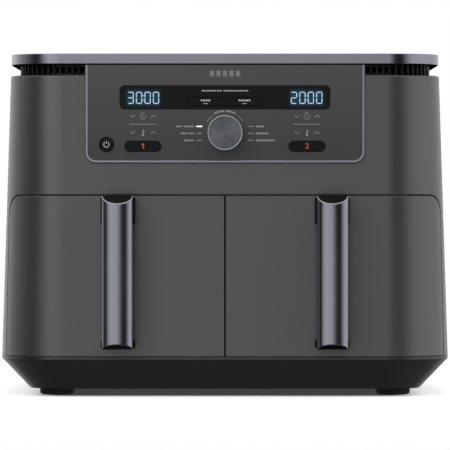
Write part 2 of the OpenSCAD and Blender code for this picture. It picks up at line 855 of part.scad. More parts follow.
module left_chamber() { mirrored() right_chamber(); }
module left_heater() { mirrored() right_heater(); }
module left_air_duct() { mirrored() right_air_duct(); }
module left_motor() { mirrored() right_motor(); }
module left_fan() { mirrored() right_fan(); }
module left_fan_shaft() { mirrored() right_fan_shaft(); }
module left_drawer_front() { mirrored() right_drawer_front(); }
module left_drawer_liner() { mirrored() right_drawer_liner(); }
module left_basket() { mirrored() right_basket(); }
module left_handle_core() { mirrored() right_handle_core(); }
module left_handle_cover() { mirrored() right_handle_cover(); }
module left_handle_screws() { mirrored() right_handle_screws(); }
module left_crisper_plate() { mirrored() right_crisper_plate(); }
module left_plate_bumpers() { mirrored() right_plate_bumpers(); }

base_tray();
rubber_feet();
case_screws();
housing_shell();
front_frame();
rear_cover();
cord_gland();
vent_neck();
lid_panel();
lid_rim();
control_fascia();
fascia_trim();
display_window();
display_modules();
control_board();
key_switches();
encoder_body();
power_board();
motor_deck();
left_chamber();
right_chamber();
left_heater();
right_heater();
left_air_duct();
right_air_duct();
left_motor();
right_motor();
temperature_probes();
thermal_fuses();
drawer_rails();
drawer_switches();
left_drawer_front();
left_drawer_liner();
left_basket();
left_handle_core();
left_handle_cover();
left_handle_screws();
left_crisper_plate();
left_plate_bumpers();
right_drawer_front();
right_drawer_liner();
right_basket();
right_handle_core();
right_handle_cover();
right_handle_screws();
right_crisper_plate();
right_plate_bumpers();
dial_knob();
dial_face();
encoder_shaft();
encoder_plunger();
power_button();
zone_1_button();
zone_2_button();
sync_key();
match_key();
left_fan();
left_fan_shaft();
right_fan();
right_fan_shaft();
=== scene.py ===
"""Looks of an air fryer with two drawers, built round its fixed frame.

Metres, +Z up, the front faces -Y. Driving sizes come from the frame's own nodes.
"""
import json
import math

import bmesh
import bpy
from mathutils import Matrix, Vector


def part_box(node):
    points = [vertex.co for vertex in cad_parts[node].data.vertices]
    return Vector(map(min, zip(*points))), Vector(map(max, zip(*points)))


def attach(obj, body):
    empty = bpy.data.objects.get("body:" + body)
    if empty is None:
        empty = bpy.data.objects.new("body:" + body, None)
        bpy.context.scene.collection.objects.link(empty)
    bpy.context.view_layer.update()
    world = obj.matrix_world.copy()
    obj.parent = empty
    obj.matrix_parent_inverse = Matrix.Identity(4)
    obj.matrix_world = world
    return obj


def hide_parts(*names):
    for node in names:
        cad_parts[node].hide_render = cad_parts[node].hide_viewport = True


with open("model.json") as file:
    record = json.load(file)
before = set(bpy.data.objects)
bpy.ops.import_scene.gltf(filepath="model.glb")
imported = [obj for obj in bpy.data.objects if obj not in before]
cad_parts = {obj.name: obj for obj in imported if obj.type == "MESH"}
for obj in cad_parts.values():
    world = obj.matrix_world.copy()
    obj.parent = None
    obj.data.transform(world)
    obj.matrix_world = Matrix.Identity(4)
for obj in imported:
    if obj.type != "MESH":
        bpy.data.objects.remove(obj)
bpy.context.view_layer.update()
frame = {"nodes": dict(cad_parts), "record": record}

MM = 0.001

# ---------------------------------------------------------------- sizes from the frame

HOUSING_LOW, HOUSING_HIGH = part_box("housing_shell")
FRONT = HOUSING_LOW.y
REAR = HOUSING_HIGH.y
RIM_Z = HOUSING_LOW.z + 1.5 * MM  # the seam to the base, a little above the frame's own
SHOULDER_Z = HOUSING_HIGH.z
RIM_HALF = HOUSING_HIGH.x
NECK_HALF = RIM_HALF - 8.7 * MM
FRONT_CENTRE = 148.8 * MM
REAR_CENTRE = 168.8 * MM
WALL = 2.6 * MM
CHAMFER = 26.4 * MM

DRAWER_LOW, DRAWER_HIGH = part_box("right_drawer_front")
SEAM = 1.4 * MM
DRAWER_ROUND = 18 * MM
PANEL_LOW, PANEL_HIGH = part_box("fascia_trim")
PANEL_Y = PANEL_LOW.y + 0.3 * MM
TRIM = 2.1 * MM
WINDOW_LOW, WINDOW_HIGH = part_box("display_window")
GRIP_LOW, GRIP_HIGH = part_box("right_handle_cover")
GRIP_X = (GRIP_LOW.x + GRIP_HIGH.x) / 2
GRIP_R = (GRIP_HIGH.x - GRIP_LOW.x) / 2
GRIP_DEPTH = 6.5 * MM
GRIP_AXIS = GRIP_LOW.y + GRIP_DEPTH
DIAL_LOW, DIAL_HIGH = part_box("dial_knob")
DIAL_Z = (DIAL_LOW.z + DIAL_HIGH.z) / 2
DIAL_R = (DIAL_HIGH.z - DIAL_LOW.z) / 2
LID_LOW, LID_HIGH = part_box("lid_rim")
LID_CORNERS = (47 * MM, 30 * MM)
NECK_LOW, NECK_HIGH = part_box("vent_neck")
NECK_CORNERS = (41 * MM, 21 * MM)


def middle_of(node):
    """X and Z of the middle of a node's box."""
    low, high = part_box(node)
    return (low.x + high.x) / 2, (low.z + high.z) / 2


POWER_X, POWER_Z = middle_of("power_button")
ZONE_X, ZONE_Z = middle_of("zone_2_button")
KEY_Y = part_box("zone_2_button")[0].y
PAIR_Z = middle_of("match_key")[1]
WINDOW_MID_Z = middle_of("display_window")[1]
DIGIT_X = 74.9 * MM
DIGIT_Z = 274.3 * MM

CORNER_STEPS = 28
SNAP = 0.01 * MM  # smaller than any real gap, so it tells two stations apart
X, Y, Z = 0, 1, 2

# ---------------------------------------------------------------- mesh tools


def clear_choice():
    bpy.ops.object.select_all(action="DESELECT")


def whole_mesh():
    bpy.ops.mesh.select_all(action="SELECT")


def only(piece):
    """Makes one object the selected and active one."""
    clear_choice()
    piece.select_set(True)
    bpy.context.view_layer.objects.active = piece


def settle(piece):
    only(piece)
    bpy.ops.object.transform_apply(location=True, rotation=True, scale=True)
    return piece


def block(low, high):
    """A box between two corners."""
    low = Vector(low)
    high = Vector(high)
    clear_choice()
    bpy.ops.mesh.primitive_cube_add(size=1, location=(low + high) / 2)
    piece = bpy.context.object
    piece.scale = high - low
    return settle(piece)


def drum(radius, low, high, axis=Z, sides=64, centre=(0, 0)):
    """A cylinder between two stations on an axis; centre is its place on the other two."""
    turn = {X: (0, math.pi / 2, 0), Y: (math.pi / 2, 0, 0), Z: (0, 0, 0)}[axis]
    place = [0, 0, 0]
    place[axis] = (low + high) / 2
    others = [i for i in (X, Y, Z) if i != axis]
    place[others[0]], place[others[1]] = centre
    clear_choice()
    bpy.ops.mesh.primitive_cylinder_add(
        vertices=sides, radius=radius, depth=high - low, location=place, rotation=turn
    )
    return settle(bpy.context.object)


class Edit:
    """Edit mode on one piece, with a choice of verts, edges or faces made by a test."""

    def __init__(self, piece):
        self.piece = piece

    def __enter__(self):
        only(self.piece)
        bpy.ops.object.mode_set(mode="EDIT")
        return self

    def __exit__(self, *_):
        bpy.ops.object.mode_set(mode="OBJECT")

    def choose(self, kind, test):
        bpy.ops.mesh.select_mode(type={"verts": "VERT", "edges": "EDGE", "faces": "FACE"}[kind])
        bpy.ops.mesh.select_all(action="DESELECT")
        mesh = bmesh.from_edit_mesh(self.piece.data)
        mesh.normal_update()
        for part in getattr(mesh, kind):
            if test(part):
                part.select_set(True)
        mesh.select_flush_mode()
        bmesh.update_edit_mesh(self.piece.data)


def along(axis, where):
    """A test for edges that run along an axis and whose middle passes where."""

    def test(edge):
        a, b = (vert.co for vert in edge.verts)
        return abs((b - a).normalized()[axis]) > 0.999 and where((a + b) / 2)

    return test


def facing(direction, where=lambda middle: True):
    """A test for faces whose normal points along direction."""
    direction = Vector(direction)
    return lambda face: face.normal.dot(direction) > 0.99 and where(face.calc_center_median())


def round_edges(piece, test, radius, steps=8):
    with Edit(piece) as edit:
        edit.choose("edges", test)
        bpy.ops.mesh.bevel(
            offset=radius, offset_type="OFFSET", segments=steps, profile=0.5,
            affect="EDGES", clamp_overlap=False,
        )
    return piece


def combine(piece, tool, operation="DIFFERENCE"):
    """Cuts, joins or crosses a piece with a tool, which is used up."""
    cutter = piece.modifiers.new("combine", "BOOLEAN")
    cutter.operation = operation
    cutter.object = tool
    cutter.solver = "EXACT"
    only(piece)
    bpy.ops.object.modifier_apply(modifier=cutter.name)
    bpy.data.objects.remove(tool)
    return piece


def join(pieces):
    clear_choice()
    for piece in pieces:
        piece.select_set(True)
    bpy.context.view_layer.objects.active = pieces[0]
    if len(pieces) > 1:
        bpy.ops.object.join()
    return pieces[0]


def copy_of(piece, shift=(0, 0, 0), turn=(0, 0, 0), flip=False):
    """A copy with its own mesh, moved, turned about the origin or mirrored left to right."""
    twin = piece.copy()
    twin.data = piece.data.copy()
    bpy.context.collection.objects.link(twin)
    twin.location = shift
    twin.rotation_euler = turn
    if flip:
        twin.scale.x = -1
    settle(twin)
    if flip:
        outwards(twin)
    return twin


def outwards(piece):
    with Edit(piece):
        whole_mesh()
        bpy.ops.mesh.normals_make_consistent(inside=False)


def slice_off(point, normal):
    """In edit mode, drops what lies beyond a plane and closes the cut."""
    whole_mesh()
    bpy.ops.mesh.bisect(plane_co=point, plane_no=normal, clear_outer=True, use_fill=True)


def soften(piece, width=0.5 * MM, steps=3, angle=38):
    """Eases the sharp edges and smooths the rest, keeping flat faces flat."""
    only(piece)
    if width:
        ease = piece.modifiers.new("ease", "BEVEL")
        ease.width = width
        ease.segments = steps
        ease.limit_method = "ANGLE"
        ease.angle_limit = math.radians(angle)
        ease.use_clamp_overlap = False
        bpy.ops.object.modifier_apply(modifier=ease.name)
    bpy.ops.object.shade_smooth_by_angle(angle=math.radians(angle + 4))
    level = piece.modifiers.new("level", "WEIGHTED_NORMAL")
    level.keep_sharp = True
    bpy.ops.object.modifier_apply(modifier=level.name)
    return piece


def half_at(z):
    return RIM_HALF - (z - RIM_Z) * (RIM_HALF - NECK_HALF) / (SHOULDER_Z - RIM_Z)


def body_block(z0, z1, inset=0.0):
    """A block with the body's outline: its sides lean in, its corners keep their centres' X."""
    wide = half_at(z0) - inset
    front_r = half_at(z0) - FRONT_CENTRE - inset
    rear_r = half_at(z0) - REAR_CENTRE - inset
    piece = block((-wide, FRONT + inset, z0), (wide, REAR - inset, z1))
    round_edges(piece, along(Z, lambda p: p.y < 0), front_r, CORNER_STEPS)
    at_rear = along(Z, lambda p: p.y > 0 and abs(p.x) > wide - MM)
    round_edges(piece, at_rear, rear_r, CORNER_STEPS)
    shrink = half_at(z0) - half_at(z1)
    with Edit(piece) as edit:
        for side in (-1, 1):
            for centre_x, radius, wall_y, inward in (
                (FRONT_CENTRE, front_r, FRONT + inset, 1),
                (REAR_CENTRE, rear_r, REAR - inset, -1),
            ):
                centre_y = wall_y + inward * radius

                def in_corner(vert):
                    return (
                        vert.co.z > (z0 + z1) / 2
                        and vert.co.x * side > centre_x - SNAP
                        and (centre_y - vert.co.y) * inward > -SNAP
                    )

                edit.choose("verts", in_corner)
                scale = (radius - shrink) / radius
                bpy.ops.transform.resize(
                    value=(scale, scale, 1), center_override=(side * centre_x, centre_y, 0)
                )
                bpy.ops.transform.translate(value=(0, -inward * shrink, 0))
    return piece


def drawer_profile(grow, x0, x1):
    """The block that a drawer front fills: its upper rear edge is rounded."""
    back = DRAWER_HIGH.y + grow
    top = DRAWER_HIGH.z + grow
    piece = block((x0, FRONT - 10 * MM, RIM_Z - 5 * MM), (x1, back, top))
    upper_rear = along(X, lambda p: p.y > back - MM and p.z > top - MM)
    return round_edges(piece, upper_rear, DRAWER_ROUND + grow, 16)


def plan_block(low, high, corners, z0, z1, inset):
    """A block with a box's plan; corners holds its front and its rear radius."""
    piece = block((low.x + inset, low.y + inset, z0), (high.x - inset, high.y - inset, z1))
    round_edges(piece, along(Z, lambda p: p.y < 0), corners[0] - inset, CORNER_STEPS)
    at_rear = along(Z, lambda p: p.y > 0 and abs(p.x) > high.x - inset - MM)
    return round_edges(piece, at_rear, corners[1] - inset, CORNER_STEPS)


def panel_block(inset, y0, y1):
    """The control panel's outline: square above, rounded at both lower corners."""
    half = PANEL_HIGH.x - inset
    low = PANEL_LOW.z + inset
    piece = block((-half, y0, low), (half, y1, PANEL_HIGH.z))
    return round_edges(piece, along(Y, lambda p: p.z < low + MM), 9.7 * MM - inset, 10)


def pill(half_w, half_h, radius, y0, y1, x=0.0, z=0.0, steps=10):
    """A rounded plate that faces the front."""
    piece = block((x - half_w, y0, z - half_h), (x + half_w, y1, z + half_h))
    return round_edges(piece, along(Y, lambda p: True), radius, steps)


# ---------------------------------------------------------------- material tools


class Value:
    """A socket that Python's operators work on, by adding Math nodes."""

    def __init__(self, graph, socket):
        self.graph = graph
        self.socket = socket

    def maths(self, operation, *others):
        return self.graph.node("Math", {"operation": operation}, self, *others)

    def __add__(self, other):
        return self.maths("ADD", other)

    def __sub__(self, other):
        return self.maths("SUBTRACT", other)

    def __mul__(self, other):
        return self.maths("MULTIPLY", other)

    def __truediv__(self, other):
        return self.maths("DIVIDE", other)

    def __pow__(self, other):
        return self.maths("POWER", other)

    def __rsub__(self, other):
        return self.graph.node("Math", {"operation": "SUBTRACT"}, other, self)


class Graph:
    """A node tree, with one way to make any node in it."""

    def __init__(self, tree):
        self.tree = tree

    def node(self, kind, settings, *values, output=0, **named):
        made = self.tree.nodes.new("ShaderNode" + kind)
        for key, value in settings.items():
            setattr(made, key, value)
        pairs = list(enumerate(values))
        pairs += [(key.replace("_", " "), value) for key, value in named.items()]
        self.plug(made, pairs)
        return Value(self, made.outputs[output])

    def plug(self, made, pairs):
        """Links or sets a node's inputs, each found by its place or its name."""
        for key, value in pairs:
            if isinstance(value, Value):
                self.tree.links.new(value.socket, made.inputs[key])
            else:
                made.inputs[key].default_value = value

    def vector(self, operation, *values, output=0):
        return self.node("VectorMath", {"operation": operation}, *values, output=output)

    def fade(self, value, low, high, to_low=0.0, to_high=1.0):
        """A value brought from one range smoothly to another."""
        return self.node(
            "MapRange", {"interpolation_type": "SMOOTHSTEP"}, value, low, high, to_low, to_high
        )

    def ramp(self, value, stops):
        """Greys between stops, each a place and a level."""
        made = self.node("ValToRGB", {}, value)
        elements = made.socket.node.color_ramp.elements
        elements.remove(elements[0])
        elements[0].position, last = stops[-1]
        elements[0].color = (last, last, last, 1)
        for place, level in stops[:-1]:
            elements.new(place).color = (level, level, level, 1)
        return made


class Finish(Graph):
    """One material: a Principled shader and the pattern that feeds it."""

    def __init__(self, name, **constants):
        self.material = bpy.data.materials.new(name)
        self.material.use_nodes = True
        super().__init__(self.material.node_tree)
        self.shader = self.tree.nodes["Principled BSDF"]
        for socket, value in constants.items():
            self.shader.inputs[socket.replace("_", " ")].default_value = value

    def feed(self, socket, value):
        self.tree.links.new(value.socket, self.shader.inputs[socket])
        return self

    def place(self, stretch=(1, 1, 1), centre=(0, 0, 0)):
        """Object coordinates, centred and stretched."""
        here = self.node("TexCoord", {}, output="Object")
        return self.vector("MULTIPLY", self.vector("SUBTRACT", here, centre), stretch)

    def outside(self, here, half):
        """How far a place lies outside a box round the origin."""
        past = self.vector("SUBTRACT", self.vector("ABSOLUTE", here), half)
        return self.vector("LENGTH", self.vector("MAXIMUM", past, (0, 0, 0)), output="Value")

    def noise(self, scale, detail=3.0, stretch=(1, 1, 1), rough=0.5):
        return self.node(
            "TexNoise", {}, Vector=self.place(stretch), Scale=scale, Detail=detail, Roughness=rough
        )

    def blend(self, factor, first, second):
        """A mix of two colours."""
        made = self.tree.nodes.new("ShaderNodeMix")
        made.data_type = "RGBA"
        self.plug(made, ((0, factor), (6, first), (7, second)))
        return Value(self, made.outputs[2])

    def tones(self, factor, colour, dark, light):
        """One colour between a darker and a lighter shade of it."""
        return self.blend(factor, shade(colour, dark), shade(colour, light))

    def dress(self, tone, sheen, height, depth, strength):
        """Feeds the shader its colour, roughness and relief, and gives back the material."""
        self.feed("Base Color", tone)
        self.feed("Roughness", sheen)
        self.feed("Normal", self.node("Bump", {}, Height=height, Distance=depth, Strength=strength))
        return self.material


def shade(colour, factor):
    return tuple(channel * factor for channel in colour[:3]) + (1.0,)


def plastic(name, colour, rough, grain=2600, depth=0.02 * MM, **constants):
    """Moulded plastic: a fine spark grain, faint clouds of tone and a varied sheen."""
    finish = Finish(name, **constants)
    clouds = finish.noise(14, 4)
    specks = finish.noise(grain, 2)
    tone = finish.tones(clouds * 0.7 + specks * 0.3, colour, 0.86, 1.14)
    sheen = finish.fade(clouds + specks * 0.4, 0.4, 1.0, rough - 0.04, rough + 0.05)
    return finish.dress(tone, sheen, specks, depth, 0.5)


def metal(name, colour, rough, grain=(1, 1, 60), streak=900, depth=0.01 * MM, **constants):
    """Brushed or plated metal: fine lines run where grain is small."""
    finish = Finish(name, Metallic=1.0, **constants)
    lines = finish.noise(streak, 3, grain)
    clouds = finish.noise(9, 3)
    tone = finish.tones(lines * 0.6 + clouds * 0.4, colour, 0.86, 1.12)
    sheen = finish.fade(lines + clouds * 0.5, 0.5, 1.0, rough - 0.05, rough + 0.07)
    return finish.dress(tone, sheen, lines, depth, 0.4)


def sheet_metal(name, colour, rough, bloom=60):
    """Rolled or galvanised sheet: flat crystals of tone over rolling lines."""
    finish = Finish(name, Metallic=1.0)
    crystals = finish.node("TexVoronoi", {}, Vector=finish.place(), Scale=bloom, output="Color")
    grey = finish.node("RGBToBW", {}, crystals)
    rolled = finish.noise(700, 2, (1, 30, 30))
    tone = finish.tones(grey, colour, 0.85, 1.1)
    sheen = finish.fade(grey + rolled * 0.5, 0.2, 1.3, rough - 0.06, rough + 0.1)
    return finish.dress(tone, sheen, rolled, 0.01 * MM, 0.4)


def paint(name, colour):
    """Satin metallic coat: fine flakes under a smooth, slightly wavy lacquer."""
    finish = Finish(name, Metallic=0.7, Coat_Weight=0.12, Coat_Roughness=0.28)
    flakes = finish.noise(5200, 1)
    clouds = finish.noise(7, 3)
    tone = finish.tones(flakes * 0.5 + clouds * 0.5, colour, 0.88, 1.12)
    sheen = finish.fade(clouds + flakes * 0.5, 0.4, 1.1, 0.31, 0.37)
    return finish.dress(tone, sheen, finish.noise(420, 2) + flakes * 0.3, 0.012 * MM, 0.35)


def fascia_coat_with_painted_shade(name):
    """Satin lacquer over a fine grain, with painted shade: its colour darkens a little from the lid
    down.
    """
    finish = Finish(name, Metallic=0.3, Coat_Weight=0.1, Coat_Roughness=0.3)
    height = finish.node("SeparateXYZ", {}, finish.place(), output="Z")
    grain = finish.noise(3400, 2)
    clouds = finish.noise(11, 3)
    # Painted shade: the colour goes from a lighter tone near the lid to a darker one lower down,
    # standing for light that falls off down the panel.
    painted_shade_fall = finish.fade(height + (clouds - 0.5) * 0.01, PANEL_LOW.z, PANEL_HIGH.z)
    coat = finish.blend(painted_shade_fall, (0.078, 0.078, 0.080, 1), (0.122, 0.115, 0.115, 1))
    tone = finish.blend(grain * 0.25, coat, (0.16, 0.155, 0.155, 1))
    sheen = finish.fade(clouds + grain * 0.4, 0.4, 1.0, 0.36, 0.44)
    return finish.dress(tone, sheen, grain, 0.015 * MM, 0.4)


def spun_with_painted_highlight(name, colour, centre, rough):
    """A face turned on a lathe: fine rings round a centre on the front, and a painted highlight:
    its tone brightens and darkens in broad sweeps and finer spokes round the centre.
    """
    finish = Finish(name, Metallic=1.0)
    here = finish.place((1, 0, 1), centre)
    radius = finish.vector("LENGTH", here, output="Value")
    wobble = finish.noise(900, 2) * (0.02 * MM)
    rings = finish.node(
        "TexNoise", {"noise_dimensions": "1D"}, W=radius + wobble, Scale=9000.0, Detail=2.0
    )
    across = finish.node("SeparateXYZ", {}, here, output="X")
    tall = finish.node("SeparateXYZ", {}, here, output="Z")
    turn = tall.maths("ARCTAN2", across)
    # Painted highlight: broad sweeps and fine spokes of tone round the centre stand for the
    # highlight that a turned face throws.
    painted_highlight_sweep = (turn * 2.0 + 0.9).maths("SINE") * 0.5 + 0.5
    fine = (turn * 9.0).maths("SINE") * 0.12
    tone = finish.tones(painted_highlight_sweep * 0.8 + fine + rings * 0.2, colour, 0.82, 1.2)
    sheen = finish.fade(rings, 0.3, 0.7, rough - 0.04, rough + 0.06)
    return finish.dress(tone, sheen, rings, 0.02 * MM, 0.5)


def glowing(name, colour, strength, dim=0.75):
    """A mark that gives off light: its light is a little uneven, as behind a printed mask. On
    printed marks, which are no lamps, this glow is painted light.
    """
    finish = Finish(name, Roughness=0.4, Emission_Strength=strength)
    tone = finish.tones(finish.noise(400, 2), colour, dim, 1.0)
    finish.feed("Base Color", tone)
    finish.feed("Emission Color", tone)
    return finish.material


def tinted_window(name, centres, size, blue):
    """Gloss smoked plastic, with the halo that the lit digits throw into it."""
    finish = Finish(name, Specular_IOR_Level=0.2, Emission_Strength=1.0)
    here = finish.place()
    halo = 0.0
    for centre in centres:
        away = finish.outside(finish.vector("SUBTRACT", here, centre), size)
        halo = finish.fade(away, 4.5 * MM, 0.0) ** 1.6 + halo
    clouds = finish.noise(30, 3)
    smoke = finish.blend(clouds, (0.0035, 0.004, 0.0045, 1), (0.006, 0.0065, 0.007, 1))
    finish.feed("Base Color", smoke)
    finish.feed("Roughness", finish.fade(clouds, 0.3, 0.7, 0.10, 0.16))
    finish.feed("Emission Color", finish.blend(halo, (0, 0, 0, 1), blue))
    return finish.material


def board_green(name):
    """Solder mask with copper tracks and tinned pads."""
    finish = Finish(name, Coat_Weight=0.4, Coat_Roughness=0.2)
    tracks = finish.node(
        "TexBrick", {}, Vector=finish.place(), Scale=90.0, Mortar_Size=0.03, output="Fac"
    )
    dots = finish.node("TexVoronoi", {}, Vector=finish.place(), Scale=420.0, output="Distance")
    pads = finish.fade(dots, 0.16, 0.12)
    green = finish.blend(tracks, (0.012, 0.10, 0.04, 1), (0.02, 0.16, 0.07, 1))
    finish.feed("Base Color", finish.blend(pads, green, (0.55, 0.54, 0.50, 1)))
    finish.feed("Metallic", pads)
    finish.feed("Roughness", 0.45 - pads * 0.15)
    return finish.material


def rubbery(name, colour):
    """Moulded rubber: dull, with dust in its finer grain."""
    finish = Finish(name)
    dust = finish.noise(60, 5)
    grain = finish.noise(1800, 3)
    tone = finish.tones(dust * dust, colour, 1.0, 1.9)
    sheen = finish.fade(dust + grain * 0.3, 0.4, 1.0, 0.72, 0.9)
    return finish.dress(tone, sheen, grain, 0.03 * MM, 0.5)


def heated_steel(name):
    """Sheathed heater rod: straw and blue heat tints on dark steel."""
    finish = Finish(name, Metallic=1.0)
    tint = finish.noise(22, 3)
    scale = finish.noise(600, 4)
    warm = finish.blend(finish.fade(tint, 0.4, 0.6), (0.15, 0.14, 0.13, 1), (0.22, 0.15, 0.09, 1))
    tone = finish.blend(finish.fade(tint, 0.6, 0.75), warm, (0.10, 0.11, 0.18, 1))
    sheen = finish.fade(scale, 0.3, 0.7, 0.38, 0.6)
    return finish.dress(tone, sheen, scale, 0.03 * MM, 0.4)


# ---------------------------------------------------------------- finishes

BODY_PAINT = paint("body_paint", (0.165, 0.164, 0.164, 1))
BASE_PLASTIC = plastic("base_plastic", (0.028, 0.028, 0.0285, 1), 0.34, Specular_IOR_Level=0.85)
FRAME_PLASTIC = plastic("frame_plastic", (0.045, 0.045, 0.046, 1), 0.55)
REAR_PLASTIC = plastic("rear_plastic", (0.035, 0.036, 0.038, 1), 0.5)
VENT_PLASTIC = plastic("vent_plastic", (0.006, 0.006, 0.007, 1), 0.34, Specular_IOR_Level=0.35)
LID_PLASTIC = plastic("lid_plastic", (0.030, 0.031, 0.033, 1), 0.36, grain=1800)
HANDLE_PLASTIC = plastic(
    "handle_plastic", (0.004, 0.004, 0.0046, 1), 0.4, Specular_IOR_Level=0.4, IOR=1.2
)
FASCIA_PLASTIC = fascia_coat_with_painted_shade("fascia_plastic")
KEY_GLOSS = plastic(
    "key_gloss", (0.0045, 0.0045, 0.005, 1), 0.22, depth=0.004 * MM, Specular_IOR_Level=0.2
)
SWITCH_PLASTIC = plastic("switch_plastic", (0.02, 0.02, 0.022, 1), 0.5)
NYLON = plastic("nylon", (0.62, 0.58, 0.5, 1), 0.45)
CERAMIC = plastic("ceramic", (0.6, 0.57, 0.52, 1), 0.3, Coat_Weight=0.4)
LED_PLASTIC = plastic("led_plastic", (0.5, 0.52, 0.54, 1), 0.4)
# For the lid's underside: a near-black copy of the lid's plastic without any reflection, so it
# reads dark whatever light falls on it: painted shade.
UNLIT_PLASTIC = plastic("unlit_plastic", (0.004, 0.004, 0.004, 1), 0.85, Specular_IOR_Level=0.0)
RUBBER = rubbery("rubber", (0.010, 0.010, 0.011, 1))
GASKET_RUBBER = rubbery("gasket_rubber", (0.055, 0.055, 0.056, 1))
LID_METAL = metal("lid_metal", (0.36, 0.36, 0.42, 1), 0.17, (1, 1, 40), depth=0.002 * MM)
HANDLE_METAL = metal("handle_metal", (0.36, 0.36, 0.41, 1), 0.17, (40, 40, 1), depth=0.002 * MM)
TRIM_METAL = metal("trim_metal", (0.42, 0.42, 0.47, 1), 0.30, (1, 1, 1), 5200, depth=0.001 * MM)
KNOB_METAL = metal("knob_metal", (0.52, 0.53, 0.55, 1), 0.26, (1, 30, 1))
SCREW_STEEL = metal("screw_steel", (0.42, 0.42, 0.44, 1), 0.35, (1, 1, 1))
SHAFT_STEEL = metal("shaft_steel", (0.55, 0.55, 0.57, 1), 0.22, (30, 30, 1))
PROBE_STEEL = metal("probe_steel", (0.6, 0.6, 0.6, 1), 0.25, (30, 1, 30))
FAN_ALUMINIUM = metal("fan_aluminium", (0.55, 0.56, 0.57, 1), 0.38, (1, 1, 1))
DIAL_METAL = spun_with_painted_highlight("dial_metal", (0.185, 0.195, 0.21, 1), (0, 0, DIAL_Z), 0.36)
CHAMBER_SHEET = sheet_metal("chamber_sheet", (0.30, 0.30, 0.31, 1), 0.42)
GALVANISED = sheet_metal("galvanised_sheet", (0.50, 0.51, 0.52, 1), 0.42, 90)
NONSTICK = plastic("nonstick", (0.022, 0.022, 0.024, 1), 0.33, grain=3000, Coat_Weight=0.15)
HEATER_STEEL = heated_steel("heater_steel")
CIRCUIT_BOARD = board_green("circuit_board")
LIT_BLUE = glowing("lit_blue", (0.42, 0.60, 0.74, 1), 1.0)
LIT_WHITE = glowing("lit_white", (0.95, 0.95, 0.95, 1), 1.0)
# The printed marks and the badge below are no lamps; their faint emission is painted light that
# makes them read brighter than their ink.
GLOWING_PRINT_GREY = glowing("glowing_print_grey", (0.45, 0.45, 0.46, 1), 0.2)
GLOWING_PRINT_WHITE = glowing("glowing_print_white", (0.58, 0.58, 0.59, 1), 0.4)
GLOWING_PRINT_LIGHT = glowing("glowing_print_light", (0.46, 0.46, 0.47, 1), 0.25)
GLOWING_BADGE_SILVER = glowing("glowing_badge_silver", (0.30, 0.30, 0.33, 1), 0.1, 0.9)
GLOWING_PRINT_RED = glowing("glowing_print_red", (0.62, 0.09, 0.04, 1), 0.5)

CHASSIS = "chassis"


def fit(piece, name, body, material, slot, *nodes):
    """Names a piece, gives it a material and a body, and hides the nodes that it stands for; slot
    is not used.
    """
    piece.name = name
    piece.data.name = name
    piece.data.materials.clear()
    piece.data.materials.append(material)
    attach(piece, body)
    if nodes:
        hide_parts(*nodes)
    return piece


# ---------------------------------------------------------------- camera and studio

CAMERA_AWAY = 4.0
EYE_Z = 187 * MM
LENS = 348.5
SENSOR = 36
DROP = 32 / 450  # how far the view's middle lies below the eye line, in widths of the view
PITCH = math.atan(DROP * SENSOR / LENS)


def camera():
    data = bpy.data.cameras.new("camera")
    data.lens = LENS
    data.sensor_width = SENSOR
    holder = bpy.data.objects.new("camera", data)
    bpy.context.collection.objects.link(holder)
    holder.location = (0, FRONT - CAMERA_AWAY, EYE_Z)
    holder.rotation_euler = (math.pi / 2 - PITCH, 0, 0)
    data.clip_end = 30
    bpy.context.scene.camera = holder


def softbox(name, place, aim, width, height, power):
    data = bpy.data.lights.new(name, "AREA")
    data.shape = "RECTANGLE"
    data.size = width
    data.size_y = height
    data.energy = power
    holder = bpy.data.objects.new(name, data)
    bpy.context.collection.objects.link(holder)
    holder.location = place
    holder.rotation_euler = (Vector(aim) - Vector(place)).to_track_quat("-Z", "Y").to_euler()


